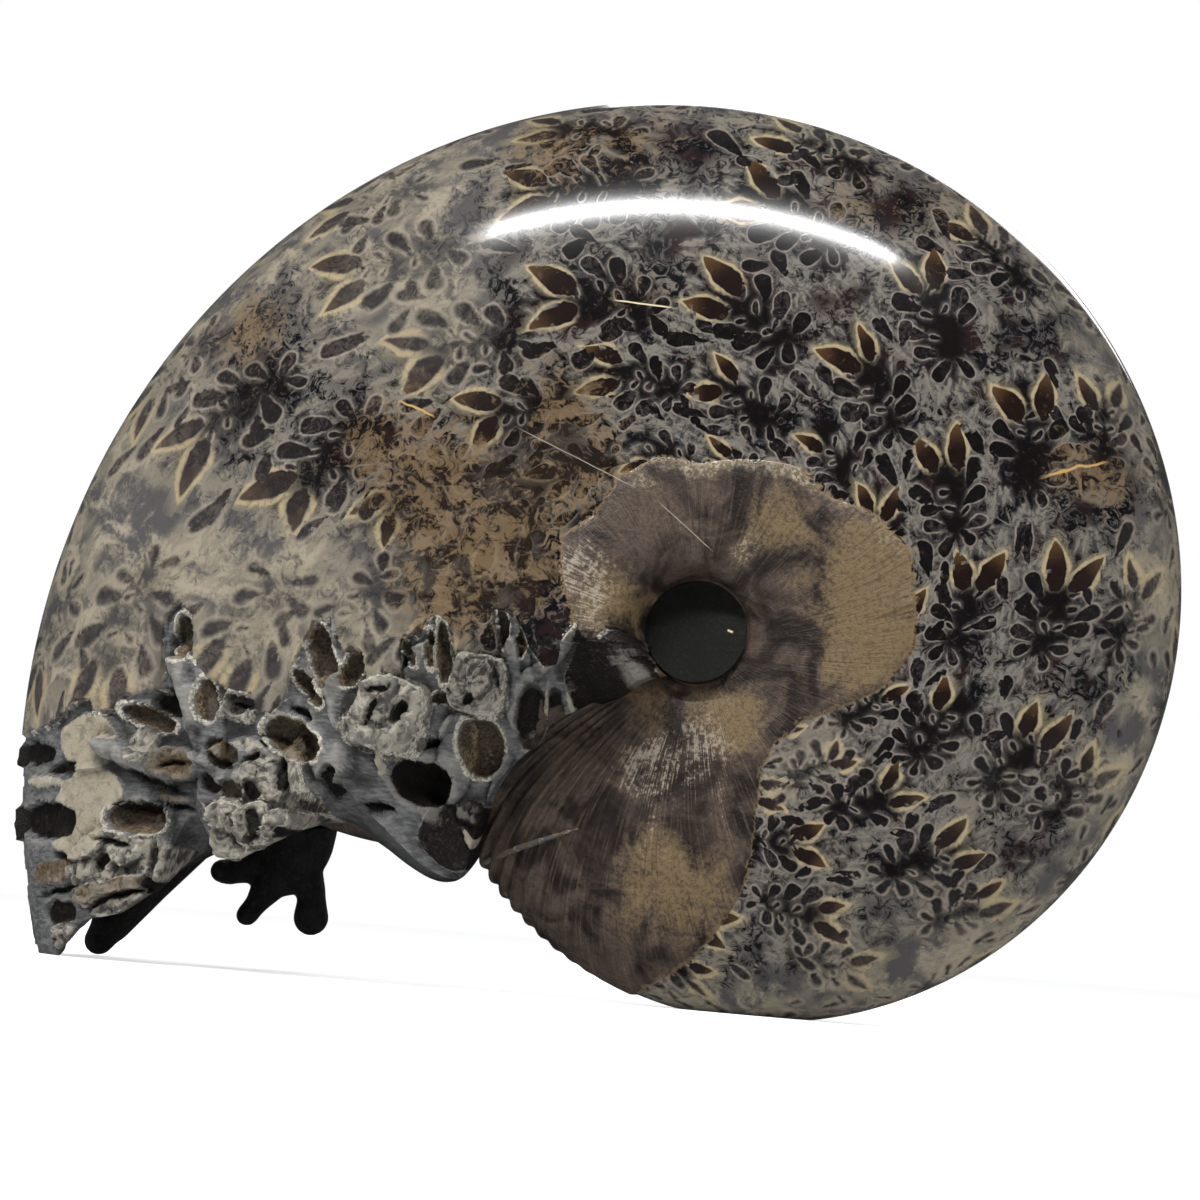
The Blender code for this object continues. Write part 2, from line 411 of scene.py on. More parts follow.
def rib_height(radius, degrees):
    """Ribs that sweep forward as they run out, and die away along the coil."""
    swept = degrees - 7.0 * (radius / 40.0) ** 2
    fade = np.interp(degrees, RIB_FADE_ANGLES, (1.0, 1.0, 0.0))
    reach = smooth_step((radius - 12.0) / 15.0)
    return RIB_DEPTH * np.cos(np.radians(swept) * 360.0 / RIB_TURN) * fade * reach


def raise_relief(grid):
    """Lifts the brown shell and its ribs off the flank, and returns the shell's depth."""
    depth = np.full(grid.shape[1:], -50.0)
    for ring, (side, zone, step) in enumerate(LAYOUT):
        radius, y, angle = grid[:3, :COIL_SEGMENTS + 1, ring]
        depth[:COIL_SEGMENTS + 1, ring] = shell_depth(radius, angle, side)
        if zone != FLANK:
            continue
        on_shell = smooth_step(depth[:COIL_SEGMENTS + 1, ring] / SHELL_EDGE)
        height = SHELL_THICKNESS * on_shell + rib_height(radius, angle)
        outward = smooth_step((step - 0.8) / 0.2)
        grid[1, :COIL_SEGMENTS + 1, ring] += side * height * (1.0 - outward)
        grid[0, :COIL_SEGMENTS + 1, ring] += height * outward
    return depth


SHELL_DEPTH = raise_relief(GRID)

# %% The sphere becomes the coil
SHARP_ANGLE = math.radians(50)


def add_sphere(name, segments, rings):
    """A sphere in edit order: each point's segment and ring are worked out from its place."""
    bpy.ops.object.select_all(action="DESELECT")
    bpy.ops.mesh.primitive_uv_sphere_add(segments=segments, ring_count=rings, radius=1.0)
    ball = bpy.context.object
    ball.name = name
    points = np.zeros(len(ball.data.vertices) * 3)
    ball.data.vertices.foreach_get("co", points)
    x, y, z = points.reshape(-1, 3).T
    segment = np.round(np.arctan2(y, x) / (2 * np.pi) * segments).astype(int) % segments
    ring = np.round(np.arccos(np.clip(z, -1, 1)) / np.pi * rings).astype(int)
    return ball, segment, ring


def finish_mesh():
    """Turns the active piece's faces outwards and shades it smooth, with its edges sharp."""
    bpy.ops.object.mode_set(mode="EDIT")
    bpy.ops.mesh.select_all(action="SELECT")
    bpy.ops.mesh.normals_make_consistent(inside=False)
    bpy.ops.object.mode_set(mode="OBJECT")
    bpy.ops.object.shade_smooth_by_angle(angle=SHARP_ANGLE)


coil, SEGMENT, RING = add_sphere("polished_coil", SEGMENTS, RINGS)
coil.data.vertices.foreach_set("co", place(*GRID[[0, 1, 2]][:, SEGMENT, RING]).ravel())
finish_mesh()
print("coil:", len(coil.data.polygons), "faces")

# %% [markdown]
# ## The broken end
#
# On the near side the polished skin stops along a ragged line, where the grey wall of the
# last chamber climbs up in branches like little trees. Below the line lie sandy pits, blocks
# of calcite and the smooth grey wall, which sweeps under to the middle and up again to the
# far flank.
#
# The piece is one sheet of faces, as fine as half a millimetre. Across, it follows the
# section of the coil from the near umbilicus over the rim to the far umbilicus. Down, it
# starts on the plane where the coil stops, runs to the lowest edge of each flank, and then
# sweeps under to the middle plane, where its two halves meet and are merged.

# %% The layout of the broken end
END_RING_COUNTS = ((NEAR, 0, 14, 330), (FAR, 0, 8, 190))
SHEET_ROWS = 112
SWEEP_ROWS = 26
END_LAYOUT = ring_layout(END_RING_COUNTS)
END_RINGS = len(END_LAYOUT) - 1
END_ROWS = SHEET_ROWS + SWEEP_ROWS

# How far down each flank and the middle reach, as angles at some radii, and how deep the
# sheet lies below the flank at its lowest edge, in mm.
NEAR_BORDER = ((8, 225), (11, 228), (14, 216), (18, 210), (22, 209.5), (26, 212), (32.6, 214.5),
               (37.5, 217.5), (43.6, 224.3), (47.5, 228.5), (50, 226), (52, 219), (54, 212), (58, 204),
               (62, 205), (65, 209.5), (72, 209.6), (77, 209.7), (79.5, 206), (82.5, 202), (86, 203),
               (88.7, 208), (97, 208.8), (105, 207.5), (109, 208.3), (113, 209), (117, 208), (121, 206.5))
FAR_BORDER = ((8, 184), (14, 186), (20, 189), (26, 198), (30, 200), (36, 202.5), (40, 205), (45, 208),
              (50, 211), (55, 213), (60, 211), (65, 207), (70, 202.5), (75, 200), (80, 200.5), (85, 199),
              (90, 200.5), (95, 199.5), (100, 201), (105, 200.8), (110, 202.5), (115, 203.3),
              (118, 203.6), (121, 206.5))
MIDDLE_BORDER = ((8, 198), (14, 205), (20, 210), (30, 212), (40, 219), (48, 224), (52.8, 224.4),
                 (55.8, 219.8), (58.6, 214.3), (60.9, 209.8), (66.7, 206.5), (73.4, 205.5),
                 (83, 204.3), (100, 205.3), (117, 206), (121, 206.5))
NEAR_DEPTHS = ((8, 2), (11, 3), (14, 12), (18, 17), (26, 19.5), (38, 19.5), (44, 19), (48, 18), (51, 10),
               (55, 4.5), (62, 3.5), (80, 3.5), (82.5, 7), (86, 7), (89, 2.5), (105, 1.5), (112, 1.0),
               (117, 0.4), (121, 0))
FAR_DEPTHS = ((8, 1), (20, 3), (60, 5), (100, 4), (112, 1.5), (118, 0.3), (121, 0))
BORDER_ANGLE = 195.0
FINER_DOWN = 0.6
TRIM_REACH = 4
MIDDLE_STEPS = (-2.0, -1.0, 0.0, 1.0, 2.0)


def along(table, radius):
    radii, values = zip(*table)
    return np.interp(radius, radii, values)


def blur_rings(values, reach):
    """Each value becomes the mean of its neighbours, so that straight stretches meet softly."""
    padded = np.pad(values, reach, mode="edge")
    return np.convolve(padded, np.ones(2 * reach + 1) / (2 * reach + 1), mode="valid")


END_SIDES = np.array([row[0] for row in END_LAYOUT])
END_RADII = np.array([float(section_point(zone, step, BORDER_ANGLE)[0]) for _, zone, step in END_LAYOUT])
ROWS_DOWN = np.arange(SHEET_ROWS + 1) / SHEET_ROWS
DOWN = (1.0 + FINER_DOWN) * ROWS_DOWN - FINER_DOWN * ROWS_DOWN**2
UNDER = np.concatenate([np.zeros(SHEET_ROWS + 1), np.arange(1, SWEEP_ROWS + 1) / SWEEP_ROWS])[:, None]


def end_grid():
    """Radius, height, angle and share of the rim of the sheet and of its sweep."""
    near, far = along(NEAR_BORDER, END_RADII), along(FAR_BORDER, END_RADII)
    border = blur_rings(np.where(END_SIDES == NEAR, near, far), TRIM_REACH)
    middle = np.mean([along(MIDDLE_BORDER, END_RADII + step) for step in MIDDLE_STEPS], axis=0)
    sheet = END_ANGLE + (border - END_ANGLE) * DOWN[:, None]
    sweep = border + (middle - border) * smooth_step(UNDER[SHEET_ROWS + 1:])
    angle = np.concatenate([sheet, sweep])
    columns = [section_point(zone, step, angle[:, ring])
               for ring, (side, zone, step) in enumerate(END_LAYOUT)]
    radius, height, share = np.moveaxis(np.array(columns), 0, -1)
    return np.stack([radius, height, angle, share])


END_GRID = end_grid()
END_BASE = place(END_GRID[0], END_GRID[1] * END_SIDES, END_GRID[2])
print("broken end:", END_ROWS, "by", END_RINGS, "faces")

# %% [markdown]
# The line where the polished skin stops is a row of points in the picture. It climbs over
# each little tree and drops between them. A slow noise makes it ragged.

# %% The edge of the skin
PIXELS_PER_MM = 6.04
SKIN_LINE = ((20, 735), (41, 727), (54, 722), (72, 702), (89, 698), (92, 712), (113, 708), (120, 695),
             (158, 688), (161, 654), (164, 615), (178, 600), (192, 614), (192, 654), (206, 676),
             (226, 688), (250, 694), (256, 708), (270, 714), (285, 695), (289, 671), (296, 654),
             (313, 623), (320, 617), (328, 620), (333, 604), (337, 640), (344, 652), (361, 650),
             (366, 680), (378, 674), (399, 671), (401, 640), (409, 632), (419, 638), (426, 619),
             (437, 614), (448, 622), (453, 652), (478, 652), (494, 655), (495, 609), (496, 594),
             (503, 592), (517, 619), (531, 650), (540, 664), (552, 660), (562, 640), (575, 622),
             (586, 640), (600, 632), (620, 624), (640, 632), (656, 668), (668, 700))
FAR_SKIN_DROP = 9.0
FAR_LOBE = 7.5


def rough(points, scale, octaves=3):
    """Smooth random heights between about -1 and 1, at points in metres. Scale is in mm."""
    flat = points.reshape(-1, 3) / (scale * MM)
    values = [noise.fractal(Vector(row), 0.9, 2.1, octaves) for row in flat]
    return np.array(values).reshape(points.shape[:-1])


ROUGH_SLOW = rough(END_BASE, 3.0)
ROUGH_FINE = rough(END_BASE, 0.9)


def below_skin():
    """Distance below the edge of the polished skin, in mm, and below 0 on the skin."""
    line_x, line_y = zip(*SKIN_LINE)
    across, down = in_picture(END_BASE)
    near = (down - np.interp(across, line_x, line_y)) / PIXELS_PER_MM
    radius, angle = END_GRID[0], END_GRID[2]
    lobes = 2.6 * np.abs(np.sin(radius / FAR_LOBE)) + 1.2 * np.sin(radius / 3.1)
    far_angle = along(FAR_BORDER, radius) - FAR_SKIN_DROP
    far = np.radians(angle - far_angle) * radius + lobes
    return np.where(END_SIDES == NEAR, near, far) + 0.35 * ROUGH_SLOW + 0.15 * ROUGH_FINE


BELOW_SKIN = below_skin()
print("faces below the skin's edge:", int((BELOW_SKIN > 0).sum()))

# %% [markdown]
# Below that line the sheet sinks, most of all beside the umbilicus, where it comes down to
# the ribs of the inner whorl.

# %% The sheet sinks
SINK_POWER = 1.2
MOST_SUNK = 0.62


def sunk_depth():
    """How deep the sheet lies below the flank, in mm."""
    first = np.argmax(BELOW_SKIN[:SHEET_ROWS + 1] > 0, axis=0)
    start = blur_rings(DOWN[first], 2 * TRIM_REACH)
    walked = np.clip((DOWN[:, None] - start) / (1.02 - start), 0.0, 1.0)
    walked = np.concatenate([walked, np.ones((SWEEP_ROWS, 1)) * walked[-1]])
    deepest = np.where(END_SIDES == NEAR, along(NEAR_DEPTHS, END_RADII), along(FAR_DEPTHS, END_RADII))
    return np.minimum(deepest * walked**SINK_POWER, MOST_SUNK * END_GRID[1])


SUNK = sunk_depth()
SUNK_HEIGHT = END_GRID[1] - SUNK
PICTURE_X, PICTURE_Y = in_picture(place(END_GRID[0], SUNK_HEIGHT * END_SIDES, END_GRID[2]))
print("deepest: %.1f mm" % float(SUNK.max()))

# %% [markdown]
# The pieces of the wall are written in the order in which they would be laid on. Each has a
# kind, its middle in the picture, its length and width in pixels, its turn in degrees (0
# lies level, 90 stands upright, and it turns clockwise) and its height or depth in mm.

# %% The pieces of the wall
SAND, CRUST, GLASS, DARK, CREAM, BROWN, SMOOTH = range(7)
WALL_PIECES = (
    ("glass", 122, 872, 108, 92, -12, 1.2), ("glass", 255, 786, 112, 96, 8, 1.6),
    ("cream", 88, 742, 60, 56, -30, 1.0), ("cream", 84, 812, 66, 100, 24, 0.9),
    ("grey", 196, 705, 130, 40, 72, 2.2), ("grey", 226, 775, 60, 70, 20, 0.6),
    ("grey", 330, 728, 110, 46, 88, 2.4), ("grey", 428, 692, 100, 50, 84, 2.2),
    ("grey", 520, 690, 100, 36, 80, 2.0), ("grey", 548, 660, 70, 16, 136, 1.6),
    ("grey", 455, 758, 90, 40, 100, 2.2), ("grey", 350, 760, 110, 44, -24, 0.8),
    ("dark", 168, 702, 40, 26, 20, -2.6), ("dark", 171, 660, 58, 8, 92, -2.2),
    ("dark", 248, 702, 40, 12, 10, -1.8), ("dark", 258, 670, 40, 8, 60, -1.4),
    ("rod", 191, 692, 74, 19, 72, 2.2), ("pit", 182, 638, 50, 20, 86, 2.2),
    ("pit", 209, 700, 44, 15, 80, 1.8), ("pit", 146, 718, 60, 21, 20, 2.4),
    ("rod", 135, 762, 84, 23, 30, 2.8), ("glass", 144, 746, 28, 36, 10, 1.4),
    ("brown", 178, 763, 50, 34, 10, 2.4), ("dark", 178, 764, 44, 5, -8, -0.8),
    ("dark", 150, 779, 50, 9, 22, -1.8), ("brown", 170, 797, 40, 10, 12, 1.0),
    ("dark", 170, 805, 40, 5, 12, -1.0), ("pit", 134, 819, 60, 30, 5, 2.8),
    ("dark", 134, 807, 52, 12, 5, -1.2), ("brown", 125, 884, 42, 17, -12, 1.2),
    ("dark", 122, 894, 44, 6, -12, -1.2), ("brown", 92, 892, 34, 18, -28, 1.2),
    ("dark", 100, 902, 34, 6, -28, -1.2), ("dark", 150, 890, 30, 14, 60, -1.6),
    ("glass", 128, 850, 30, 34, 60, 1.4), ("dark", 100, 862, 20, 12, -60, -1.4),
    ("dark", 115, 842, 40, 6, 10, -1.4), ("dark", 152, 860, 8, 30, 10, -1.2),
    ("pane", 237, 706, 30, 28, 10, 1.4), ("dark", 236, 708, 16, 14, 0, -1.0),
    ("brown", 223, 752, 34, 22, 35, -1.4), ("dark", 222, 762, 30, 8, 35, -1.0),
    ("dark", 212, 784, 24, 13, 50, -1.4), ("brown", 233, 790, 24, 20, 15, -1.2),
    ("dark", 270, 742, 26, 14, 10, -1.4), ("dark", 250, 762, 10, 30, 40, -1.2),
    ("glass", 262, 780, 50, 40, 20, 1.2), ("dark", 254, 790, 14, 22, -20, -1.2),
    ("dark", 285, 775, 12, 36, 10, -1.4), ("pane", 296, 764, 14, 60, -6, 1.6),
    ("pane", 232, 830, 36, 56, -6, 3.0), ("glass", 230, 826, 18, 34, 10, 0.6),
    ("pane", 259, 824, 24, 44, 0, 2.4), ("dark", 259, 822, 13, 30, 0, -0.8),
    ("pane", 287, 828, 34, 36, 10, 2.6), ("dark", 284, 834, 12, 16, 20, -1.2),
    ("pit", 320, 654, 74, 25, 74, 2.6), ("pit", 351, 667, 42, 22, 118, 2.0),
    ("pit", 308, 688, 52, 16, 48, 2.0), ("pit", 292, 738, 68, 36, 28, 3.0),
    ("dark", 326, 780, 34, 15, -50, -2.0), ("dark", 300, 712, 30, 7, 30, -1.6),
    ("rod", 333, 622, 40, 6, 88, 1.6), ("grey", 338, 700, 60, 16, 80, 1.4),
    ("pane", 390, 716, 72, 74, 20, 3.2), ("glass", 373, 742, 26, 26, 0, 1.4),
    ("dark", 402, 712, 14, 26, 40, -1.2), ("glass", 410, 732, 26, 30, 30, 1.2),
    ("dark", 380, 690, 30, 6, -10, -1.2), ("dark", 374, 712, 6, 30, 20, -1.0),
    ("cream", 382, 764, 10, 28, 4, 1.6), ("dark", 432, 742, 24, 8, -20, -1.6),
    ("dark", 395, 660, 30, 12, 10, -1.6), ("pit", 409, 652, 36, 11, 60, 1.8),
    ("pit", 430, 648, 42, 9, 84, 1.6), ("pit", 443, 652, 64, 14, 86, 2.0),
    ("brown", 456, 686, 28, 9, 60, 1.2), ("pit", 442, 698, 16, 14, 0, 1.4),
    ("pane", 479, 684, 56, 60, 6, 3.0), ("glass", 479, 680, 34, 36, 30, 0.8),
    ("dark", 470, 700, 10, 16, 20, -0.9), ("pit", 503, 628, 44, 12, 84, 2.0),
    ("pit", 522, 642, 34, 9, 96, 1.6), ("rod", 515, 668, 60, 14, 80, 1.4),
    ("dark", 548, 640, 26, 20, 20, -1.8), ("pit", 481, 748, 60, 44, 78, 3.0),
    ("dark", 531, 716, 62, 30, 96, -2.4), ("dark", 556, 716, 58, 18, 84, -2.2),
    ("cream", 545, 712, 60, 5, 96, 1.2), ("lump", 572, 632, 26, 24, 0, 1.8),
    ("lump", 612, 676, 94, 98, 20, 2.4),
    ("cream", 610, 728, 74, 7, -18, 1.2), ("cream", 572, 708, 44, 5, 70, 1.2),
    ("hole", 420, 783, 66, 44, 16, 6.0), ("dark", 452, 838, 76, 60, 40, 0.8),
    ("lump", 470, 812, 30, 26, 0, 1.6), ("grey", 498, 780, 12, 64, 24, 1.0),
    ("cream", 474, 846, 8, 44, -34, 0.8), ("dark", 370, 809, 38, 12, 6, -1.6),
    ("dark", 30, 755, 40, 22, 0, -1.4), ("dark", 58, 768, 34, 8, -20, -1.2),
    ("cream", 45, 781, 44, 12, 0, 0.8), ("dark", 44, 822, 56, 38, 0, -1.8),
    ("dark", 62, 858, 26, 6, 30, -1.2), ("brown", 50, 872, 44, 24, -10, 0.8),
    ("dark", 54, 892, 44, 6, -16, -1.2), ("dark", 54, 915, 30, 26, 0, -1.0),
    ("glass", 62, 938, 34, 24, 60, 0.9),
)
KINDS = {
    "pit": SAND, "rod": SMOOTH, "grey": SMOOTH, "glass": GLASS, "pane": GLASS,
    "dark": DARK, "hole": DARK, "lump": DARK, "cream": CREAM, "brown": BROWN,
}
WOBBLE = 2.6
THINNEST_EDGE = 2.2


def piece_shape(row):
    """How far out a point lies in one piece of the wall (1 on its outline), and across it."""
    kind, middle_x, middle_y, length, width, turn, height = row
    cos, sin = math.cos(math.radians(turn)), math.sin(math.radians(turn))
    step_x = PICTURE_X + WOBBLE * ROUGH_SLOW - middle_x
    step_y = PICTURE_Y + WOBBLE * np.roll(ROUGH_SLOW, 7, axis=1) - middle_y
    length_way = (step_x * cos + step_y * sin) / (length / 2)
    cross_way = (step_y * cos - step_x * sin) / (width / 2)
    power = 4.0 if kind in ("pane", "rod") else 2.4
    out = (np.abs(length_way) ** power + np.abs(cross_way) ** power) ** (1.0 / power)
    return out, cross_way


def paint(finish, cover, masks):
    masks *= 1.0 - cover
    masks[finish] += cover


def lay_pieces():
    """Relief of the broken end in mm, and how much of each finish every point has."""
    relief = np.zeros(PICTURE_X.shape)
    masks = np.zeros((7,) + PICTURE_X.shape)
    masks[SMOOTH] = 1.0
    near = (END_SIDES == NEAR) & (BELOW_SKIN > -0.2)
    for row in WALL_PIECES:
        kind, width, height = row[0], min(row[3:5]), row[6]
        out, cross_way = piece_shape(row)
        soft = 0.06 + THINNEST_EDGE / width
        inside = smooth_step((1.0 + 0.5 * soft - out) / soft) * near
        if kind in ("pit", "hole"):
            bowl = np.sqrt(np.clip(1.0 - out**2, 0.0, 1.0))
            lip = np.exp(-((out - 1.05) / (0.5 * soft + 0.06)) ** 2) * near * (kind == "pit")
            relief += 0.7 * lip - height * bowl * near
            paint(CRUST, 0.8 * lip, masks)
        elif kind in ("rod", "grey"):
            relief += height * np.sqrt(np.clip(1.0 - cross_way**2, 0.0, 1.0)) * inside
        elif kind == "pane":
            relief += height * inside
            paint(CRUST, smooth_step((1.1 + soft - out) / soft) * near, masks)
        elif kind == "lump":
            relief += height * np.sqrt(np.clip(1.0 - out**2, 0.0, 1.0)) * near
        else:
            relief += height * inside
        paint(KINDS[kind], smooth_step((1.0 - out) / soft) * near, masks)
        if kind == "hole":
            paint(DARK, inside, masks)
    return relief, masks


RELIEF, MASKS = lay_pieces()
print("pieces of the wall:", len(WALL_PIECES))

# %% [markdown]
# Calcite breaks in small flat facets, and sand in grains. Cells of random points give the
# facets. A far wall with no photograph gets the same finishes in a loose pattern: calcite
# blocks and sandy pits between smooth grey branches.

# %% Facets and grains
FACET_SIZE = 2.1
SKIN_STEP = 1.1
CRUST_WIDTH = 0.7
RIM_SHARE = 0.93


def facets(points, size):
    """Flat tilted facets: each cell of random points has its own height and slope."""
    values = np.zeros(len(points))
    for index, row in enumerate(points / (size * MM)):
        spot = Vector(row)
        centre = noise.voronoi(spot)[1][0]
        slope = noise.noise_vector(centre * 3.7)
        values[index] = slope.dot(spot - centre) + 0.5 * slope.x
    return values


def end_relief():
    base = END_BASE.reshape(-1, 3)
    chipped = facets(base, FACET_SIZE).reshape(PICTURE_X.shape)
    far = END_SIDES == FAR
    patch = rough(END_BASE + 0.05, 6.5, 2)
    for finish, low, high, lift in ((GLASS, 0.12, 0.30, 1.4), (SAND, -0.38, -0.20, -1.8)):
        cover = smooth_step((patch - low) / (high - low))
        cover = (cover if finish == GLASS else 1.0 - cover) * far * (BELOW_SKIN > 0)
        paint(finish, cover, MASKS)
        RELIEF[:] += lift * cover
    chips = 1.1 * MASKS[GLASS] + 0.7 * MASKS[DARK] + 0.3 * MASKS[CREAM] + 0.4 * MASKS[BROWN]
    grains = 0.10 + 0.45 * MASKS[CRUST] + 0.25 * MASKS[SAND] + 0.30 * MASKS[GLASS] + 0.2 * MASKS[BROWN]
    relief = RELIEF + chipped * chips + ROUGH_FINE * grains
    lip = np.exp(-((BELOW_SKIN - 0.35) / CRUST_WIDTH) ** 2) * smooth_step(0.5 + ROUGH_SLOW * 2.0)
    paint(CRUST, 0.8 * lip, MASKS)
    broken = smooth_step(BELOW_SKIN / 0.35)
    fading = np.ones(END_ROWS + 1)
    fading[SHEET_ROWS - 2:] = smooth_step(1.0 - (np.arange(SWEEP_ROWS + 3)) / (SWEEP_ROWS * 0.8))
    at_rim = 1.0 - 0.3 * smooth_step((END_GRID[3] - RIM_SHARE) / (1.0 - RIM_SHARE))
    return broken * (relief - SKIN_STEP) * fading[:, None] * at_rim, broken


END_RELIEF, BROKEN = end_relief()

# %% [markdown]
# Each point also keeps how high it stands over the mean of its neighbours. The finish uses it
# later to paint shade into the hollows and light onto the high places.

# %% Hollows and high places
HOLLOW_REACH = 6
HOLLOW_RANGE = 1.6


def mean_around(grid, reach):
    for axis in (0, 1):
        grid = sum(np.roll(grid, shift, axis) for shift in range(-reach, reach + 1)) / (2 * reach + 1)
    return grid


STANDING = END_RELIEF - 0.3 * SUNK
STANDING = np.clip(0.5 + (STANDING - mean_around(STANDING, HOLLOW_REACH)) / HOLLOW_RANGE, 0.0, 1.0)


def end_points():
    """Radius, y and angle of the broken end, with its hollow sweep and its relief."""
    radius, angle = END_GRID[0], END_GRID[2]
    step_radius = np.gradient(radius, axis=1) * -END_SIDES
    step_height = np.gradient(END_GRID[1], axis=1) * -END_SIDES
    length = np.hypot(step_radius, step_height) + 1e-9
    out_radius, out_height = -step_height / length, step_radius / length
    height = (SUNK_HEIGHT + out_height * END_RELIEF) * (1.0 - UNDER)
    return radius + out_radius * END_RELIEF, height * END_SIDES, angle


END_RADIUS, END_Y, END_ANGLES = end_points()
print("broken end reaches %.1f mm" % float(END_RADIUS.max()))

# %% The sheet becomes the broken end


def add_sheet(name, rows, columns):
    """A flat grid in edit order: each point's row and column are worked out from its place."""
    bpy.ops.object.select_all(action="DESELECT")
    bpy.ops.mesh.primitive_grid_add(x_subdivisions=columns, y_subdivisions=rows, size=2.0)
    sheet = bpy.context.object
    sheet.name = name
    points = np.zeros(len(sheet.data.vertices) * 3)
    sheet.data.vertices.foreach_get("co", points)
    x, y, z = points.reshape(-1, 3).T
    return sheet, np.round((y + 1) / 2 * rows).astype(int), np.round((x + 1) / 2 * columns).astype(int)


broken_end, END_ROW, END_RING = add_sheet("broken_end", END_ROWS, END_RINGS)
end_places = place(END_RADIUS, END_Y, END_ANGLES)[END_ROW, END_RING]
broken_end.data.vertices.foreach_set("co", end_places.ravel())
print("broken end:", len(broken_end.data.polygons), "faces")

# %% [markdown]
# ## The leaves of the suture
#
# Each inner wall of the shell met the skin along a line that is folded like the edge of an
# oak leaf. Polished through, the folds are closed leaf shapes: broad pointed petals filled
# with brown calcite, round-ended clubs with a thin pale outline, and bundles of pale fingers
# that point back. They stand in clusters, one for each wall in each row, about 24.6 degrees
# apart, and they grow with the coil.
#
# An image can't be used, and thousands of cut faces would be heavy. So the leaves are kept
# as rows of plain numbers, and each face of the coil learns its three nearest leaves. Every
# corner of the face stores where it lies in each leaf's own axes. The material draws the
# leaf from that at any fineness, so the outline stays sharp at any distance.

# %% One cluster of leaves
PETAL, CLUB, FINGER = 0.0, 0.5, 1.0
SEPTUM_TURN = 24.6
SEPTUM_PHASE = 16.1
UNIT = 1.0 / 79.6
CLUSTER_AXIS = 18.0

# Each leaf of a cluster: kind, place ahead and aside of the cluster, turn, half length, half
# width and taper. Sizes are in mm on a coil of 79.6 mm radius.
CLUSTER = (
    (PETAL, 0.6, -2.7, -23, 3.3, 1.50, 0.34),
    (PETAL, 0.5, 2.7, 22, 3.4, 1.50, 0.34),
    (CLUB, -3.4, -4.3, -44, 2.3, 1.15, -0.45),
    (CLUB, -4.2, 4.1, 46, 2.3, 1.15, -0.45),
    (CLUB, -6.8, -3.9, -62, 2.2, 1.10, -0.50),
    (CLUB, -7.6, 3.7, 64, 2.2, 1.05, -0.50),
    (CLUB, -10.2, -3.2, -78, 1.9, 0.95, -0.50),
    (CLUB, -10.9, 3.0, 80, 1.9, 0.95, -0.50),
    (CLUB, -13.4, -1.5, -140, 1.6, 0.80, -0.45),
    (CLUB, -13.6, 1.6, 142, 1.6, 0.80, -0.45),
    (CLUB, 2.2, -8.4, -14, 2.8, 1.00, -0.60),
    (CLUB, 6.2, 6.8, 12, 3.0, 1.05, -0.60),
    (CLUB, -2.6, 8.6, 30, 2.1, 0.95, -0.50),
    (CLUB, -4.4, -8.6, -38, 2.0, 0.95, -0.45),
)
# Small frills line both sides of the cluster's spine, and bundles of thin fingers point back
# from both sides and from the spine's end.
SPINE_STEPS = (-2.4, -5.2, -8.4)
SPINE = tuple((CLUB, ahead, side * 1.2, side * 60, 1.0, 0.40, -0.3)
              for ahead in SPINE_STEPS for side in (-1, 1))
SPINE_END = -11.5
BUNDLES = ((0.6, -6.6, -156, 2.0), (2.6, 6.2, 160, 2.2), (-8.6, -7.0, 170, 1.7), (-8.0, 7.4, -170, 1.7),
           (-16.4, 0.0, 180, 1.8), (4.6, -0.4, 180, 1.2), (8.8, 9.6, -165, 1.8), (5.0, -11.6, 170, 1.8))
FINGERS = tuple((FINGER, ahead - 0.4 * abs(number), aside + 0.75 * number, turn - 13 * number,
                 length * (1.0 - 0.12 * abs(number)), 0.30, 0.40)
                for ahead, aside, turn, length in BUNDLES for number in (-2, -1, 0, 1, 2))

# Rows of clusters: share of the rim, turn against the other rows, and scale.
ROWS = (
    (0.290, -4.0, 0.62),
    (0.430, -1.5, 0.80),
    (0.580, 0.0, 1.00),
    (0.775, -1.5, 1.10),
    (0.915, -4.0, 0.95),
)
ROW_DRIFT = 0.00022
SPINES = []


def cluster_leaves(angle, arc, scale, mirror, chance):
    """The leaves of one cluster, each a little different: angle, arc, turn, sizes and kind."""
    leaves = []
    axis = math.radians(CLUSTER_AXIS + chance.normal(0, 6))
    share = np.interp(abs(arc), ARCS[::-1], SHARES[::-1])
    SPINES.append((angle, arc, axis, scale, mirror, max(share, 0.2)))
    for kind, ahead, aside, turn, length, width, taper in CLUSTER + SPINE + FINGERS:
        if chance.random() < (0.03 if kind == PETAL else 0.18):
            continue
        loose = 0.3 if kind == PETAL else 0.45
        ahead = ahead * scale + chance.normal(0, loose)
        aside = aside * scale + chance.normal(0, loose)
        along_coil = (ahead * math.cos(axis) - aside * math.sin(axis)) * UNIT
        out = (ahead * math.sin(axis) + aside * math.cos(axis)) * UNIT
        grown = scale * chance.uniform(0.84, 1.12)
        leaves.append((
            angle + math.degrees(along_coil / max(share, 0.2)),
            arc - mirror * out,
            mirror * -(math.radians(turn + chance.normal(0, 7)) + axis),
            length * grown * UNIT,
            width * grown * chance.uniform(0.88, 1.1) * UNIT,
            taper,
            kind,
        ))
    return leaves


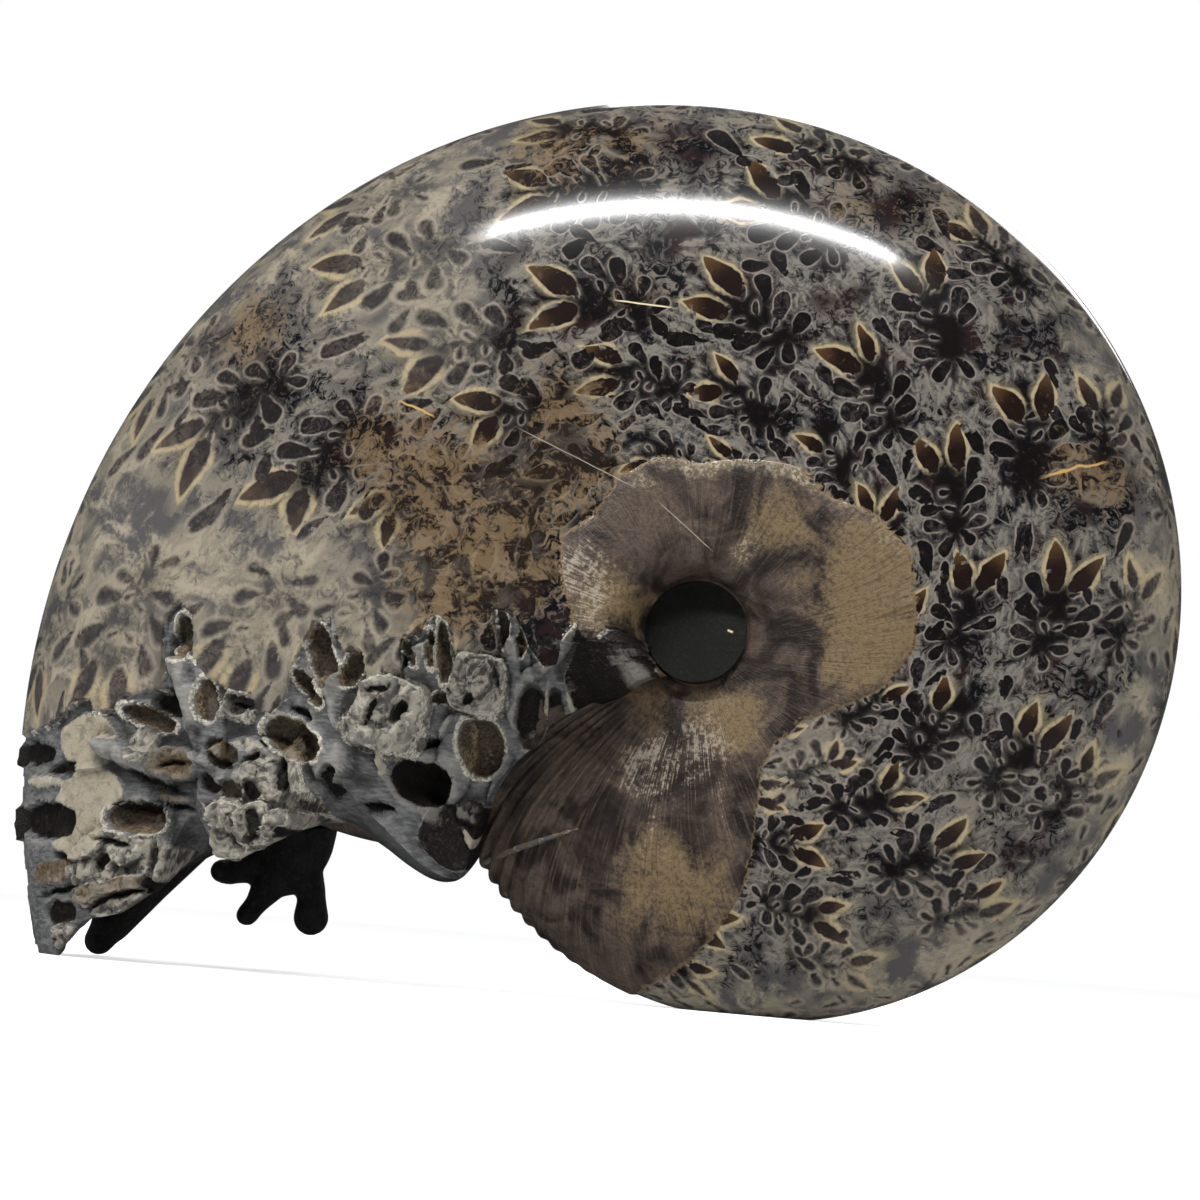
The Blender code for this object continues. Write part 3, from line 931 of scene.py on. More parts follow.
def all_leaves():
    chance = np.random.default_rng(11)
    leaves = []
    for number in range(-8, 9):
        base = SEPTUM_PHASE + SEPTUM_TURN * number
        for side in (NEAR, FAR):
            for share, turn, scale in ROWS:
                angle = base + turn + chance.normal(0, 1.0)
                share_there = share + ROW_DRIFT * base
                arc = side * float(arc_of(min(share_there, 0.99)))
                leaves += cluster_leaves(angle, arc, scale, side, chance)
        leaves += cluster_leaves(base - 12.0, 0.0, 1.0, NEAR, chance)
    return np.array(leaves)


LEAVES = all_leaves()
print("leaves:", len(LEAVES))

# %% [markdown]
# A leaf's outline is a stretched circle that narrows towards one end. How far a point lies
# from the outline, in mm, is found with a few multiplications, and the same ones are used
# twice: here to find the nearest leaves, and in the material to draw them.

# %% The three nearest leaves of each face
LEAVES_KEPT = 3
REACH = 0.085
FAR_AWAY = 60.0
POINTED, ROUND = 1.6, 2.1


def leaf_axes(leaf, angle, arc):
    """Place of some points in a leaf's own axes, in mm: along the leaf and across it."""
    scale = rim_radius(leaf[..., 0])
    middle = np.clip(np.abs(0.5 * (arc + leaf[..., 1])), 0.0, ARCS[0])
    share = np.interp(middle, ARCS[::-1], SHARES[::-1])
    ahead = np.radians(angle - leaf[..., 0]) * share
    out = arc - leaf[..., 1]
    cos, sin = np.cos(leaf[..., 2]), np.sin(leaf[..., 2])
    return (ahead * cos + out * sin) * scale, (out * cos - ahead * sin) * scale


def leaf_distance(leaf, ahead, across):
    """Distance from a leaf's outline, in mm, and below 0 inside it."""
    scale = rim_radius(leaf[..., 0])
    length, width = leaf[..., 3] * scale, leaf[..., 4] * scale
    power = np.where(leaf[..., 6] == CLUB, ROUND, POINTED)
    there = np.clip(ahead / length, -1.0, 1.0)
    wide = width * (1.0 - leaf[..., 5] * there)
    first = np.abs(ahead / length) ** power + 1e-9
    second = np.abs(across / wide) ** power
    size = (first + second) ** (1.0 / power)
    return (size - 1.0) * (first * length + second * wide) / (first + second)


def face_means(values):
    return 0.25 * (values[1:, 1:] + values[:-1, 1:] + values[1:, :-1] + values[:-1, :-1])


def nearest_leaves(angle, arc):
    """The numbers of the nearest leaves of each face, and whether there is one at all."""
    angle, arc = face_means(angle), face_means(arc)
    arc_line = arc.mean(axis=0)
    best = np.full((LEAVES_KEPT,) + angle.shape, FAR_AWAY)
    number = np.zeros(best.shape, dtype=int)
    for index, leaf in enumerate(LEAVES):
        share = np.interp(abs(leaf[1]), ARCS[::-1], SHARES[::-1])
        turn = math.degrees(REACH / max(share, 0.2))
        columns = np.flatnonzero(np.abs(arc_line - leaf[1]) < REACH)
        if not len(columns):
            continue
        near = np.abs(angle[:, columns[::4]] - leaf[0]) < turn
        rows = np.flatnonzero(near.any(axis=1))
        if not len(rows):
            continue
        block = (slice(rows[0], rows[-1] + 1), slice(columns[0], columns[-1] + 1))
        found = leaf_distance(leaf, *leaf_axes(leaf, angle[block], arc[block]))
        mark = np.full(found.shape, index)
        for slot in range(LEAVES_KEPT):
            nearer = found < best[slot][block]
            found, best[slot][block] = (np.where(nearer, best[slot][block], found),
                                        np.where(nearer, found, best[slot][block]))
            mark, number[slot][block] = (np.where(nearer, number[slot][block], mark),
                                         np.where(nearer, mark, number[slot][block]))
    return number, best < FAR_AWAY


def signed_arc(share, layout):
    """Arc from the rim of every point, below 0 on the near flank."""
    return arc_of(share) * np.array([row[0] for row in layout])


# %% The faces learn their leaves


def face_corners(mesh):
    """Point and face of every corner."""
    point = np.zeros(len(mesh.loops), dtype=int)
    mesh.loops.foreach_get("vertex_index", point)
    count = np.zeros(len(mesh.polygons), dtype=int)
    mesh.polygons.foreach_get("loop_total", count)
    return point, np.repeat(np.arange(len(count)), count)


def lowest(face, values, keep):
    low = np.full(face[-1] + 1, 10**6)
    np.minimum.at(low, face[keep], values[keep])
    return low


def face_places(face, section, ring, poles):
    """Section and ring of each face's first corner. The last section meets the first again."""
    inner = (ring > 0) & (ring < poles)
    low, high = lowest(face, section, inner), -lowest(face, -section, inner)
    return np.where(high - low > 1, high, low), lowest(face, ring, ring >= 0)


def store(mesh, name, kind, domain, values, channel):
    layer = mesh.attributes.new(name, kind, domain)
    layer.data.foreach_set(channel, np.ascontiguousarray(values, dtype=np.float32).ravel())


def spine_distance(angle, arc):
    """Distance of each point from the nearest cluster's spine, in mm at full scale."""
    nearest = np.full(angle.shape, FAR_AWAY)
    for turn, row_arc, axis, scale, mirror, share in SPINES:
        along_coil = np.radians(angle - turn) * share / UNIT
        out = (row_arc - arc) * mirror / UNIT
        ahead = along_coil * math.cos(axis) + out * math.sin(axis)
        aside = out * math.cos(axis) - along_coil * math.sin(axis)
        beyond = ahead - np.clip(ahead, SPINE_END * scale, 0.0)
        np.minimum(nearest, np.hypot(beyond, aside) / scale, out=nearest)
    return nearest


def store_leaves(mesh, section, ring, poles, angle, arc):
    """Gives each face the axes and forms of its nearest leaves. Angle and arc are grids."""
    spine = spine_distance(angle, arc)[np.minimum(section, angle.shape[0] - 1), ring]
    store(mesh, "spine", "FLOAT", "POINT", spine, "value")
    number, found = nearest_leaves(angle, arc)
    point, face = face_corners(mesh)
    face_section, face_ring = face_places(face, section[point], ring[point], poles)
    on_grid = face_section < number.shape[1]
    face_section = np.minimum(face_section, number.shape[1] - 1)
    face_ring = np.minimum(face_ring, number.shape[2] - 1)
    row = np.minimum(section[point], angle.shape[0] - 1)
    angle_there, arc_there = angle[row, ring[point]], arc[row, ring[point]]
    for slot, letter in enumerate("abc"):
        near = found[slot][face_section, face_ring] & on_grid
        leaf = LEAVES[number[slot][face_section, face_ring]][face]
        ahead, across = leaf_axes(leaf, angle_there, arc_there)
        scale = rim_radius(leaf[:, 0])
        power = np.where(leaf[:, 6] == CLUB, ROUND, POINTED)
        ahead[~near[face]] = FAR_AWAY
        rows = np.stack([ahead, across, power], axis=1)
        store(mesh, "leaf_" + letter, "FLOAT_VECTOR", "CORNER", rows, "vector")
        form = np.stack([leaf[:, 3] * scale, leaf[:, 4] * scale, leaf[:, 5], leaf[:, 6]], axis=1)
        store(mesh, "form_" + letter, "FLOAT_COLOR", "CORNER", form, "color")


coil_rows = slice(0, COIL_SEGMENTS + 1)
store_leaves(coil.data, SEGMENT, RING, RINGS, GRID[2, coil_rows],
             signed_arc(GRID[3, coil_rows], LAYOUT))
store_leaves(broken_end.data, END_ROW, END_RING, END_RINGS + 1, END_GRID[2],
             signed_arc(END_GRID[3], END_LAYOUT))
print("attributes:", [layer.name for layer in coil.data.attributes])

# %% [markdown]
# ## Zones of colour
#
# The stone isn't the same all over. It is clear and black on the right, milky towards the
# rim and the broken end, and stained with rust near the top. The brown shell has a crust on
# its upper edge and white pitted places. Each zone is a few soft spots, given by radius,
# angle, size and strength, and stored on the points of the mesh.

# %% The zones
ZONES = {
    "milky": (
        (112, 186, 34, 0.85), (103, 163, 22, 0.70), (98, 140, 20, 0.45), (88, 122, 14, 0.35),
        (66, -52, 20, 0.75), (70, -12, 15, 0.50), (62, -78, 16, 0.55), (72, 12, 12, 0.45),
        (74, 186, 24, 0.65), (62, 176, 16, 0.45), (79, 100, 10, 0.25), (47, -24, 7, 0.30),
        (24, -34, 6, 0.60), (24, -56, 5, 0.50), (36, -84, 5, 0.5), (76, 40, 7, 0.4),
        (50, 190, 16, 0.5), (74, 134, 15, 0.6), (62, 134, 12, 0.5), (92, 124, 12, 0.4),
    ),
    "rusty": (
        (43, 154, 12, 1.0), (86, 112, 8, 0.75), (91, 149, 8, 0.80), (82, 101, 7, 0.6),
        (33, 128, 9, 0.9), (38, 176, 8, 0.7), (68, 26, 5, 0.8), (63, 29, 5, 0.7), (73, 75, 7, 0.5),
        (30, 160, 9, 0.9), (58, 152, 8, 0.6), (56, 103, 5, 0.3), (44, 122, 6, 0.6), (80, 66, 6, 0.4),
    ),
    "crusty": (
        (27, 112, 4, 0.8), (27, 98, 4, 0.8), (28, 85, 4, 0.9), (29, 72, 4, 0.8), (31, 61, 4, 0.8),
        (33, 50, 4, 0.7), (35, 39, 4, 0.8), (34, 27, 3, 0.6), (34, 14, 3, 0.6), (33, 2, 3, 0.4),
        (18, 60, 4, 0.6), (14, 70, 4, 0.6), (12, 42, 4, 0.7),
    ),
    "pitted": (
        (14.3, -86, 6, 0.8), (21.2, -113, 5, 0.8), (17.7, -96, 6, 0.7), (17, 158, 6, 0.7),
        (21, 145, 6, 0.5), (30, -100, 8, 0.5), (11, 48, 4, 0.6), (24, -75, 5, 0.45),
        (14, 178, 5, 0.6),
    ),
    "amber": (
        (30, 22, 9, 0.9), (26, 2, 7, 0.7), (22, 60, 6, 0.5), (14, 160, 6, 0.6), (12, -60, 6, 0.6),
        (34, -98, 8, 0.35), (40, -88, 9, 0.35), (12, -120, 6, 0.4),
    ),
}


def soft_spots(spots, side, radius, angle):
    total = np.zeros(radius.shape)
    x, z = radius * np.cos(np.radians(angle)), radius * np.sin(np.radians(angle))
    for away, turn, size, strength in spots:
        turn = turn if side == NEAR else 40.0 - turn
        spot_x, spot_z = away * math.cos(math.radians(turn)), away * math.sin(math.radians(turn))
        total = total + strength * np.exp(-((x - spot_x) ** 2 + (z - spot_z) ** 2) / size**2)
    return total


def store_zones(mesh, radius, y, angle, share, depth, plug):
    """The spots of the near flank, and the same ones turned about for the far flank."""
    near = smooth_step(0.5 - y / 12.0)
    for name, spots in ZONES.items():
        value = near * soft_spots(spots, NEAR, radius, angle)
        value = value + (1 - near) * soft_spots(spots, FAR, radius, angle)
        if name == "milky":
            value = value + 0.55 * smooth_step((share - 0.86) / 0.12)
        store(mesh, name, "FLOAT", "POINT", np.clip(value, 0, 1), "value")
    store(mesh, "shell_depth", "FLOAT", "POINT", depth, "value")
    store(mesh, "plug", "FLOAT", "POINT", plug, "value")
    store(mesh, "coil_angle", "FLOAT", "POINT", angle, "value")
    store(mesh, "coil_radius", "FLOAT", "POINT", radius, "value")


coil_zones = np.array([row[1] for row in LAYOUT])[RING]
inner_rows = SEGMENT > COIL_SEGMENTS
coil_depth = np.where(inner_rows, 5.0, SHELL_DEPTH[SEGMENT, RING])
store_zones(coil.data, *GRID[:, SEGMENT, RING], coil_depth, coil_zones == PLUG)
end_depth = np.stack([shell_depth(END_GRID[0][:, ring], END_GRID[2][:, ring], side)
                      for ring, side in enumerate(END_SIDES)], axis=1)
store_zones(broken_end.data, END_RADIUS[END_ROW, END_RING], END_Y[END_ROW, END_RING],
            END_ANGLES[END_ROW, END_RING], END_GRID[3][END_ROW, END_RING],
            end_depth[END_ROW, END_RING], np.zeros(len(END_ROW)))

# %% The finishes of the broken end, and the shade painted under its arch
# Painted shade: the sweep under the broken end darkens towards the middle, most on the far side.
SHADED = np.where(END_SIDES == NEAR, 0.8 * smooth_step((UNDER - 0.35) / 0.65), smooth_step(UNDER / 0.6))


def store_finishes_and_shade(mesh):
    first = np.stack([MASKS[SAND], MASKS[CRUST], MASKS[GLASS], MASKS[DARK]], axis=-1)
    second = np.stack([MASKS[CREAM], MASKS[BROWN], SHADED, STANDING], axis=-1)
    store(mesh, "finish_one", "FLOAT_COLOR", "POINT", first[END_ROW, END_RING], "color")
    store(mesh, "finish_and_shade", "FLOAT_COLOR", "POINT", second[END_ROW, END_RING], "color")
    store(mesh, "below_skin", "FLOAT", "POINT", BELOW_SKIN[END_ROW, END_RING], "value")


store_finishes_and_shade(broken_end.data)

# %% [markdown]
# The sheet's two halves meet under the broken end along one line, with points at different
# places of it, and a sliver of a face joins them. The open side towards the coil is filled
# with one more face, so that the piece is closed.

# %% Close the broken end
MERGE_DISTANCE = 0.00001
bpy.ops.object.select_all(action="DESELECT")
broken_end.select_set(True)
bpy.context.view_layer.objects.active = broken_end
bpy.ops.object.mode_set(mode="EDIT")
bpy.ops.mesh.select_mode(type="EDGE")
bpy.ops.mesh.select_all(action="SELECT")
bpy.ops.mesh.remove_doubles(threshold=MERGE_DISTANCE)
bpy.ops.mesh.select_all(action="DESELECT")
bpy.ops.mesh.select_non_manifold()
bpy.ops.object.mode_set(mode="OBJECT")
on_middle = [abs(point.co.y) < MERGE_DISTANCE for point in broken_end.data.vertices]
for edge in broken_end.data.edges:
    edge.select = edge.select and on_middle[edge.vertices[0]] and on_middle[edge.vertices[1]]
print("edges along the middle:", sum(edge.select for edge in broken_end.data.edges))
bpy.ops.object.mode_set(mode="EDIT")
bpy.ops.mesh.edge_face_add()
bpy.ops.mesh.select_all(action="DESELECT")
bpy.ops.mesh.select_non_manifold()
bpy.ops.mesh.edge_face_add()
bpy.ops.object.mode_set(mode="OBJECT")
finish_mesh()
print("closed:", len(broken_end.data.polygons), "faces")

# %% [markdown]
# ## Shader helpers
#
# Node trees are long to write, so three small helpers add a node, do one sum, and mix two
# colours. Each takes plain numbers or the sockets of other nodes.

# %% Helpers for nodes


def feed(tree, socket, value):
    if isinstance(value, bpy.types.NodeSocket):
        tree.links.new(value, socket)
    elif value is not None:
        socket.default_value = value


def add_node(tree, kind, *values, **settings):
    node = tree.nodes.new(kind)
    for name, value in settings.items():
        setattr(node, name, value)
    for socket, value in zip(node.inputs, values):
        feed(tree, socket, value)
    return node


def sum_of(tree, operation, *values, clamp=False):
    return add_node(tree, "ShaderNodeMath", *values, operation=operation, use_clamp=clamp).outputs[0]


def mix(tree, factor, first, second, blend="MIX"):
    node = tree.nodes.new("ShaderNodeMix")
    node.data_type = "RGBA"
    node.blend_type = blend
    for name, value in (("Factor", factor), ("A", first), ("B", second)):
        feed(tree, [s for s in node.inputs if s.name == name and s.enabled][0], value)
    return [s for s in node.outputs if s.enabled][0]


def blend_values(tree, factor, first, second):
    """A number between two others."""
    return add_node(tree, "ShaderNodeMix", factor, None, first, second).outputs[0]


def band(tree, value, low, high):
    """0 below low, 1 above high, and a smooth step between them. It also runs backwards."""
    node = add_node(tree, "ShaderNodeMapRange", value, low, high, 0.0, 1.0)
    node.interpolation_type = "SMOOTHSTEP"
    return node.outputs[0]


def spots_of(tree, place_there, scale, detail=2.0, rough_share=0.5, warp=0.0):
    node = tree.nodes.new("ShaderNodeTexNoise")
    for name, value in (("Vector", place_there), ("Scale", scale), ("Detail", detail),
                        ("Roughness", rough_share), ("Distortion", warp)):
        feed(tree, node.inputs[name], value)
    return node


def read(tree, name):
    return add_node(tree, "ShaderNodeAttribute", attribute_name=name)


def new_group(name, inputs, outputs):
    """A node group, with its input and output nodes."""
    group = bpy.data.node_groups.new(name, "ShaderNodeTree")
    for label, kind in inputs:
        group.interface.new_socket(label, in_out="INPUT", socket_type="NodeSocket" + kind)
    for label, kind in outputs:
        group.interface.new_socket(label, in_out="OUTPUT", socket_type="NodeSocket" + kind)
    return group, group.nodes.new("NodeGroupInput"), group.nodes.new("NodeGroupOutput")


def use_group(tree, group, **values):
    node = tree.nodes.new("ShaderNodeGroup")
    node.node_tree = group
    for name, value in values.items():
        feed(tree, node.inputs[name.replace("_", " ")], value)
    return node.outputs


# %% [markdown]
# ## One leaf, drawn
#
# This group repeats the sum for a leaf's outline, and then colours by the distance from it.
# From outside in, a petal has a wide olive halo, a bright cream line, and a dark heart that
# turns brown towards its tip. A club has only a thin rosy line round a black heart, and a
# finger is pale all through. The outline is open at the leaf's base and frilled there.

# %% The leaf group
HALO = (0.250, 0.218, 0.150, 1.0)
HALO_COLD = (0.120, 0.112, 0.106, 1.0)
CREAM_LINE = (0.35, 0.275, 0.160, 1.0)
ROSY_LINE = (0.25, 0.210, 0.178, 1.0)
PETAL_HEART = (0.010, 0.005, 0.004, 1.0)
PETAL_TIP = (0.072, 0.037, 0.015, 1.0)
CLUB_HEART = (0.004, 0.003, 0.003, 1.0)
CLUB_CLEAR = (0.042, 0.034, 0.035, 1.0)
FINGER_PALE = (0.165, 0.148, 0.122, 1.0)
MILKY_HEART = (0.048, 0.042, 0.043, 1.0)
LINE_WIDTH = 0.16
LINE_MIDDLE = 0.10
MILKY_SPREAD = 1.3


def leaf_group():
    group, given, out = new_group(
        "suture_leaf",
        (("Place", "Vector"), ("Form", "Color"), ("Kind", "Float"), ("Shift", "Vector"),
         ("Frill", "Vector"), ("Milky", "Float"), ("Cloud", "Float"), ("Ground", "Color")),
        (("Color", "Color"), ("Distance", "Float")),
    )
    t = group
    spot = add_node(t, "ShaderNodeSeparateXYZ", given.outputs["Place"])
    form = add_node(t, "ShaderNodeSeparateColor", given.outputs["Form"])
    length, width, taper = form.outputs
    frilled = band(t, sum_of(t, "DIVIDE", spot.outputs["X"], length), 0.4, -0.7)
    frill = add_node(t, "ShaderNodeVectorMath", given.outputs["Frill"], operation="SCALE")
    feed(t, frill.inputs["Scale"], frilled)
    shift = add_node(t, "ShaderNodeVectorMath", given.outputs["Shift"], frill.outputs[0],
                     operation="ADD")
    shift = add_node(t, "ShaderNodeSeparateXYZ", shift.outputs[0])
    x = sum_of(t, "ADD", spot.outputs["X"], shift.outputs["X"])
    y = sum_of(t, "ADD", spot.outputs["Y"], shift.outputs["Y"])
    power = spot.outputs["Z"]
    ahead = sum_of(t, "DIVIDE", x, length)
    there = sum_of(t, "MAXIMUM", sum_of(t, "MINIMUM", ahead, 1.0), -1.0)
    narrow = sum_of(t, "SUBTRACT", 1.0, sum_of(t, "MULTIPLY", taper, there))
    wide = sum_of(t, "MULTIPLY", width, narrow)
    first = sum_of(t, "ADD", sum_of(t, "POWER", sum_of(t, "ABSOLUTE", ahead), power), 1e-6)
    aside = sum_of(t, "ABSOLUTE", sum_of(t, "DIVIDE", y, wide))
    second = sum_of(t, "POWER", aside, power)
    both = sum_of(t, "ADD", first, second)
    size = sum_of(t, "POWER", both, sum_of(t, "DIVIDE", 1.0, power))
    reach = sum_of(t, "ADD", sum_of(t, "MULTIPLY", first, length), sum_of(t, "MULTIPLY", second, wide))
    far = sum_of(t, "MULTIPLY", sum_of(t, "SUBTRACT", size, 1.0), sum_of(t, "DIVIDE", reach, both))

    petal = sum_of(t, "LESS_THAN", given.outputs["Kind"], 0.25)
    finger = sum_of(t, "GREATER_THAN", given.outputs["Kind"], 0.75)
    luck = add_node(t, "ShaderNodeTexWhiteNoise", given.outputs["Form"]).outputs["Value"]
    tipward = band(t, ahead, -0.5, 1.0)
    cloud = given.outputs["Cloud"]
    milky = given.outputs["Milky"]
    blurred = sum_of(t, "MULTIPLY_ADD", milky, MILKY_SPREAD, 1.0)

    halo_width = sum_of(t, "MULTIPLY_ADD", sum_of(t, "MULTIPLY", tipward, petal), 1.5, 0.9)
    halo_width = sum_of(t, "MULTIPLY", halo_width, blurred)
    halo = sum_of(t, "SUBTRACT", 1.0, sum_of(t, "DIVIDE", far, halo_width), clamp=True)
    feather = sum_of(t, "MULTIPLY_ADD", cloud, 2.4, -0.35, clamp=True)
    halo = sum_of(t, "MULTIPLY", sum_of(t, "POWER", halo, 1.3), feather)
    halo = sum_of(t, "MULTIPLY", halo, sum_of(t, "MULTIPLY_ADD", petal, 0.5, 0.5))
    halo = sum_of(t, "MULTIPLY", halo, band(t, ahead, -1.3, -0.2))
    warm = sum_of(t, "MAXIMUM", petal, milky)
    colour = mix(t, halo, given.outputs["Ground"], mix(t, warm, HALO_COLD, HALO))

    smoky = sum_of(t, "MULTIPLY", band(t, luck, 0.35, 0.9), band(t, cloud, 0.40, 0.65))
    clear = mix(t, smoky, CLUB_HEART, CLUB_CLEAR)
    brown = mix(t, band(t, ahead, -0.1, 1.1), PETAL_HEART, PETAL_TIP)
    heart = mix(t, petal, clear, brown)
    heart = mix(t, sum_of(t, "MULTIPLY", milky, 0.6), heart, MILKY_HEART)
    heart = mix(t, finger, heart, FINGER_PALE)
    depth = sum_of(t, "DIVIDE", far, blurred)
    inside = band(t, depth, 0.03, blend_values(t, milky, -0.12, -0.45))
    feathered = sum_of(t, "MULTIPLY", band(t, depth, 0.15, -0.22), band(t, cloud, 0.36, 0.56))
    inside = blend_values(t, finger, inside, feathered)
    colour = mix(t, inside, colour, heart)

    middle = sum_of(t, "MULTIPLY_ADD", petal, 0.16, LINE_MIDDLE)
    edge = sum_of(t, "ABSOLUTE", sum_of(t, "SUBTRACT", depth, middle))
    line_width = sum_of(t, "MULTIPLY_ADD", petal, 0.20, LINE_WIDTH)
    line = band(t, sum_of(t, "DIVIDE", edge, line_width), 1.2, 0.2)
    strong = blend_values(t, petal, sum_of(t, "MULTIPLY_ADD", luck, 0.5, 0.4), 0.95)
    strong = sum_of(t, "MULTIPLY", strong, sum_of(t, "MULTIPLY_ADD", band(t, cloud, 0.34, 0.58), 0.5, 0.5))
    line = sum_of(t, "MULTIPLY", line, blend_values(t, finger, strong, 0.0))
    line = sum_of(t, "MULTIPLY", line, band(t, ahead, -0.85, -0.15))
    colour = mix(t, line, colour, mix(t, petal, ROSY_LINE, CREAM_LINE))
    feed(t, out.inputs["Color"], colour)
    feed(t, out.inputs["Distance"], far)
    return group


LEAF_GROUP = leaf_group()
print("leaf group:", len(LEAF_GROUP.nodes), "nodes")

# %% [markdown]
# ## The stone between the leaves
#
# Behind the leaves lies dark calcite and mud: black where it is clear, blue grey in fine
# smoky streaks, with a red-brown stain here and there, and milky towards the rim.

# %% The ground group
BLACK = (0.003, 0.003, 0.004, 1.0)
BLUE_GREY = (0.070, 0.065, 0.068, 1.0)
WISP = (0.165, 0.150, 0.130, 1.0)
CORE = (0.004, 0.003, 0.003, 1.0)
MAROON = (0.018, 0.009, 0.009, 1.0)
MILK = (0.28, 0.245, 0.185, 1.0)
MILK_DARK = (0.072, 0.068, 0.068, 1.0)
RUST = (0.150, 0.102, 0.056, 1.0)
RUST_DARK = (0.018, 0.012, 0.008, 1.0)


def ground_group():
    group, given, out = new_group("stone_ground",
                                  (("Place", "Vector"), ("Milky", "Float"), ("Spine", "Float")),
                                  (("Color", "Color"), ("Cloud", "Float"), ("Smoke", "Float")))
    t = group
    milky = given.outputs["Milky"]
    cloud = spots_of(t, given.outputs["Place"], 130.0, 3.0, 0.6, 0.8).outputs["Fac"]
    smoke = spots_of(t, given.outputs["Place"], 470.0, 3.0, 0.76, 1.6).outputs["Fac"]
    streak = sum_of(t, "MULTIPLY", band(t, smoke, 0.47, 0.66), band(t, cloud, 0.40, 0.60))
    colour = mix(t, sum_of(t, "MULTIPLY", band(t, cloud, 0.52, 0.40), 0.8), BLACK, MAROON)
    colour = mix(t, streak, colour, BLUE_GREY)
    ragged = sum_of(t, "ADD", given.outputs["Spine"], sum_of(t, "MULTIPLY_ADD", smoke, 6.0, -3.0))
    wisp = sum_of(t, "MULTIPLY", band(t, ragged, 4.2, 6.0), band(t, ragged, 9.0, 6.6))
    wisp = sum_of(t, "MULTIPLY", wisp, band(t, smoke, 0.40, 0.62))
    colour = mix(t, sum_of(t, "MULTIPLY", wisp, 0.8), colour, WISP)
    milk = sum_of(t, "ADD", milky, sum_of(t, "MULTIPLY_ADD", smoke, 1.6, -0.80))
    colour = mix(t, band(t, milk, 0.15, 0.75), colour, MILK_DARK)
    tan = sum_of(t, "ADD", milky, sum_of(t, "MULTIPLY_ADD", cloud, 3.4, -2.12))
    tan = sum_of(t, "ADD", tan, sum_of(t, "MULTIPLY_ADD", smoke, 1.8, -0.90))
    colour = mix(t, band(t, tan, 0.22, 1.15), colour, MILK)
    core = sum_of(t, "MULTIPLY", band(t, ragged, 4.0, 1.8), sum_of(t, "MULTIPLY_ADD", milky, -0.55, 0.92))
    colour = mix(t, core, colour, CORE)
    feed(t, out.inputs["Color"], colour)
    feed(t, out.inputs["Cloud"], cloud)
    feed(t, out.inputs["Smoke"], smoke)
    return group


GROUND_GROUP = ground_group()

# %% [markdown]
# ## The brown shell
#
# The shell that is left is mother-of-pearl gone brown and dull. Growth lines cross it, curved
# as the ribs are. It is dark beside the umbilicus, amber in places, eaten into white pits in
# others, and its upper edge carries an olive crust of small crystals.

# %% The shell group
SHELL_DARK = (0.016, 0.010, 0.008, 1.0)
SHELL_BROWN = (0.084, 0.058, 0.043, 1.0)
SHELL_AMBER = (0.170, 0.115, 0.052, 1.0)
SHELL_LINE = (0.165, 0.128, 0.092, 1.0)
SHELL_WHITE = (0.32, 0.28, 0.22, 1.0)
CRUST_OLIVE = (0.120, 0.092, 0.048, 1.0)
CRUST_WHITE = (0.36, 0.31, 0.22, 1.0)


def growth_lines(t, angle, radius):
    """Fine lines across the coil, curved as the ribs are."""
    sweep = sum_of(t, "POWER", sum_of(t, "DIVIDE", radius, 40.0), 2.0)
    swept = sum_of(t, "SUBTRACT", angle, sum_of(t, "MULTIPLY", sweep, 7.0))
    lines_at = add_node(t, "ShaderNodeCombineXYZ", sum_of(t, "MULTIPLY", swept, 0.9),
                        sum_of(t, "MULTIPLY", radius, 0.05), 0.0).outputs[0]
    return spots_of(t, lines_at, 1.6, 2.0, 0.7).outputs["Fac"]


def shell_group():
    group, given, out = new_group(
        "brown_shell",
        (("Fine", "Float"), ("Cloud", "Float"), ("Angle", "Float"), ("Radius", "Float"),
         ("Crusty", "Float"), ("Pitted", "Float"), ("Amber", "Float")),
        (("Color", "Color"), ("Height", "Float")),
    )
    t = group
    cloud, fine = given.outputs["Cloud"], given.outputs["Fine"]
    lines = growth_lines(t, given.outputs["Angle"], given.outputs["Radius"])
    colour = mix(t, band(t, cloud, 0.34, 0.60), SHELL_DARK, SHELL_BROWN)
    amber = sum_of(t, "MULTIPLY_ADD", cloud, 1.2, given.outputs["Amber"])
    amber = sum_of(t, "MULTIPLY_ADD", fine, 0.5, amber)
    colour = mix(t, sum_of(t, "MULTIPLY", band(t, amber, 0.98, 1.42), 0.9), colour, SHELL_AMBER)
    colour = mix(t, sum_of(t, "MULTIPLY", band(t, lines, 0.52, 0.72), 0.35), colour, SHELL_LINE)
    colour = mix(t, sum_of(t, "MULTIPLY", band(t, lines, 0.48, 0.30), 0.50), colour, SHELL_DARK)
    colour = mix(t, sum_of(t, "MULTIPLY", band(t, fine, 0.52, 0.36), 0.35), colour, SHELL_DARK)
    speck = sum_of(t, "MULTIPLY_ADD", lines, 0.9, sum_of(t, "MULTIPLY", fine, 0.9))
    speck = sum_of(t, "MULTIPLY_ADD", cloud, 0.9, speck)
    pits = sum_of(t, "ADD", given.outputs["Pitted"], sum_of(t, "MULTIPLY_ADD", speck, 2.2, -3.45))
    pits = band(t, pits, 0.36, 0.95)
    colour = mix(t, sum_of(t, "MULTIPLY", pits, 0.75), colour, SHELL_WHITE)
    crust = sum_of(t, "ADD", given.outputs["Crusty"], sum_of(t, "MULTIPLY_ADD", cloud, 2.2, -1.45))
    crust = band(t, crust, 0.25, 0.85)
    grain = mix(t, band(t, fine, 0.48, 0.62), CRUST_OLIVE, CRUST_WHITE)
    colour = mix(t, sum_of(t, "MULTIPLY", crust, 0.85), colour, grain)
    feed(t, out.inputs["Color"], colour)
    feed(t, out.inputs["Height"], lines)
    return group


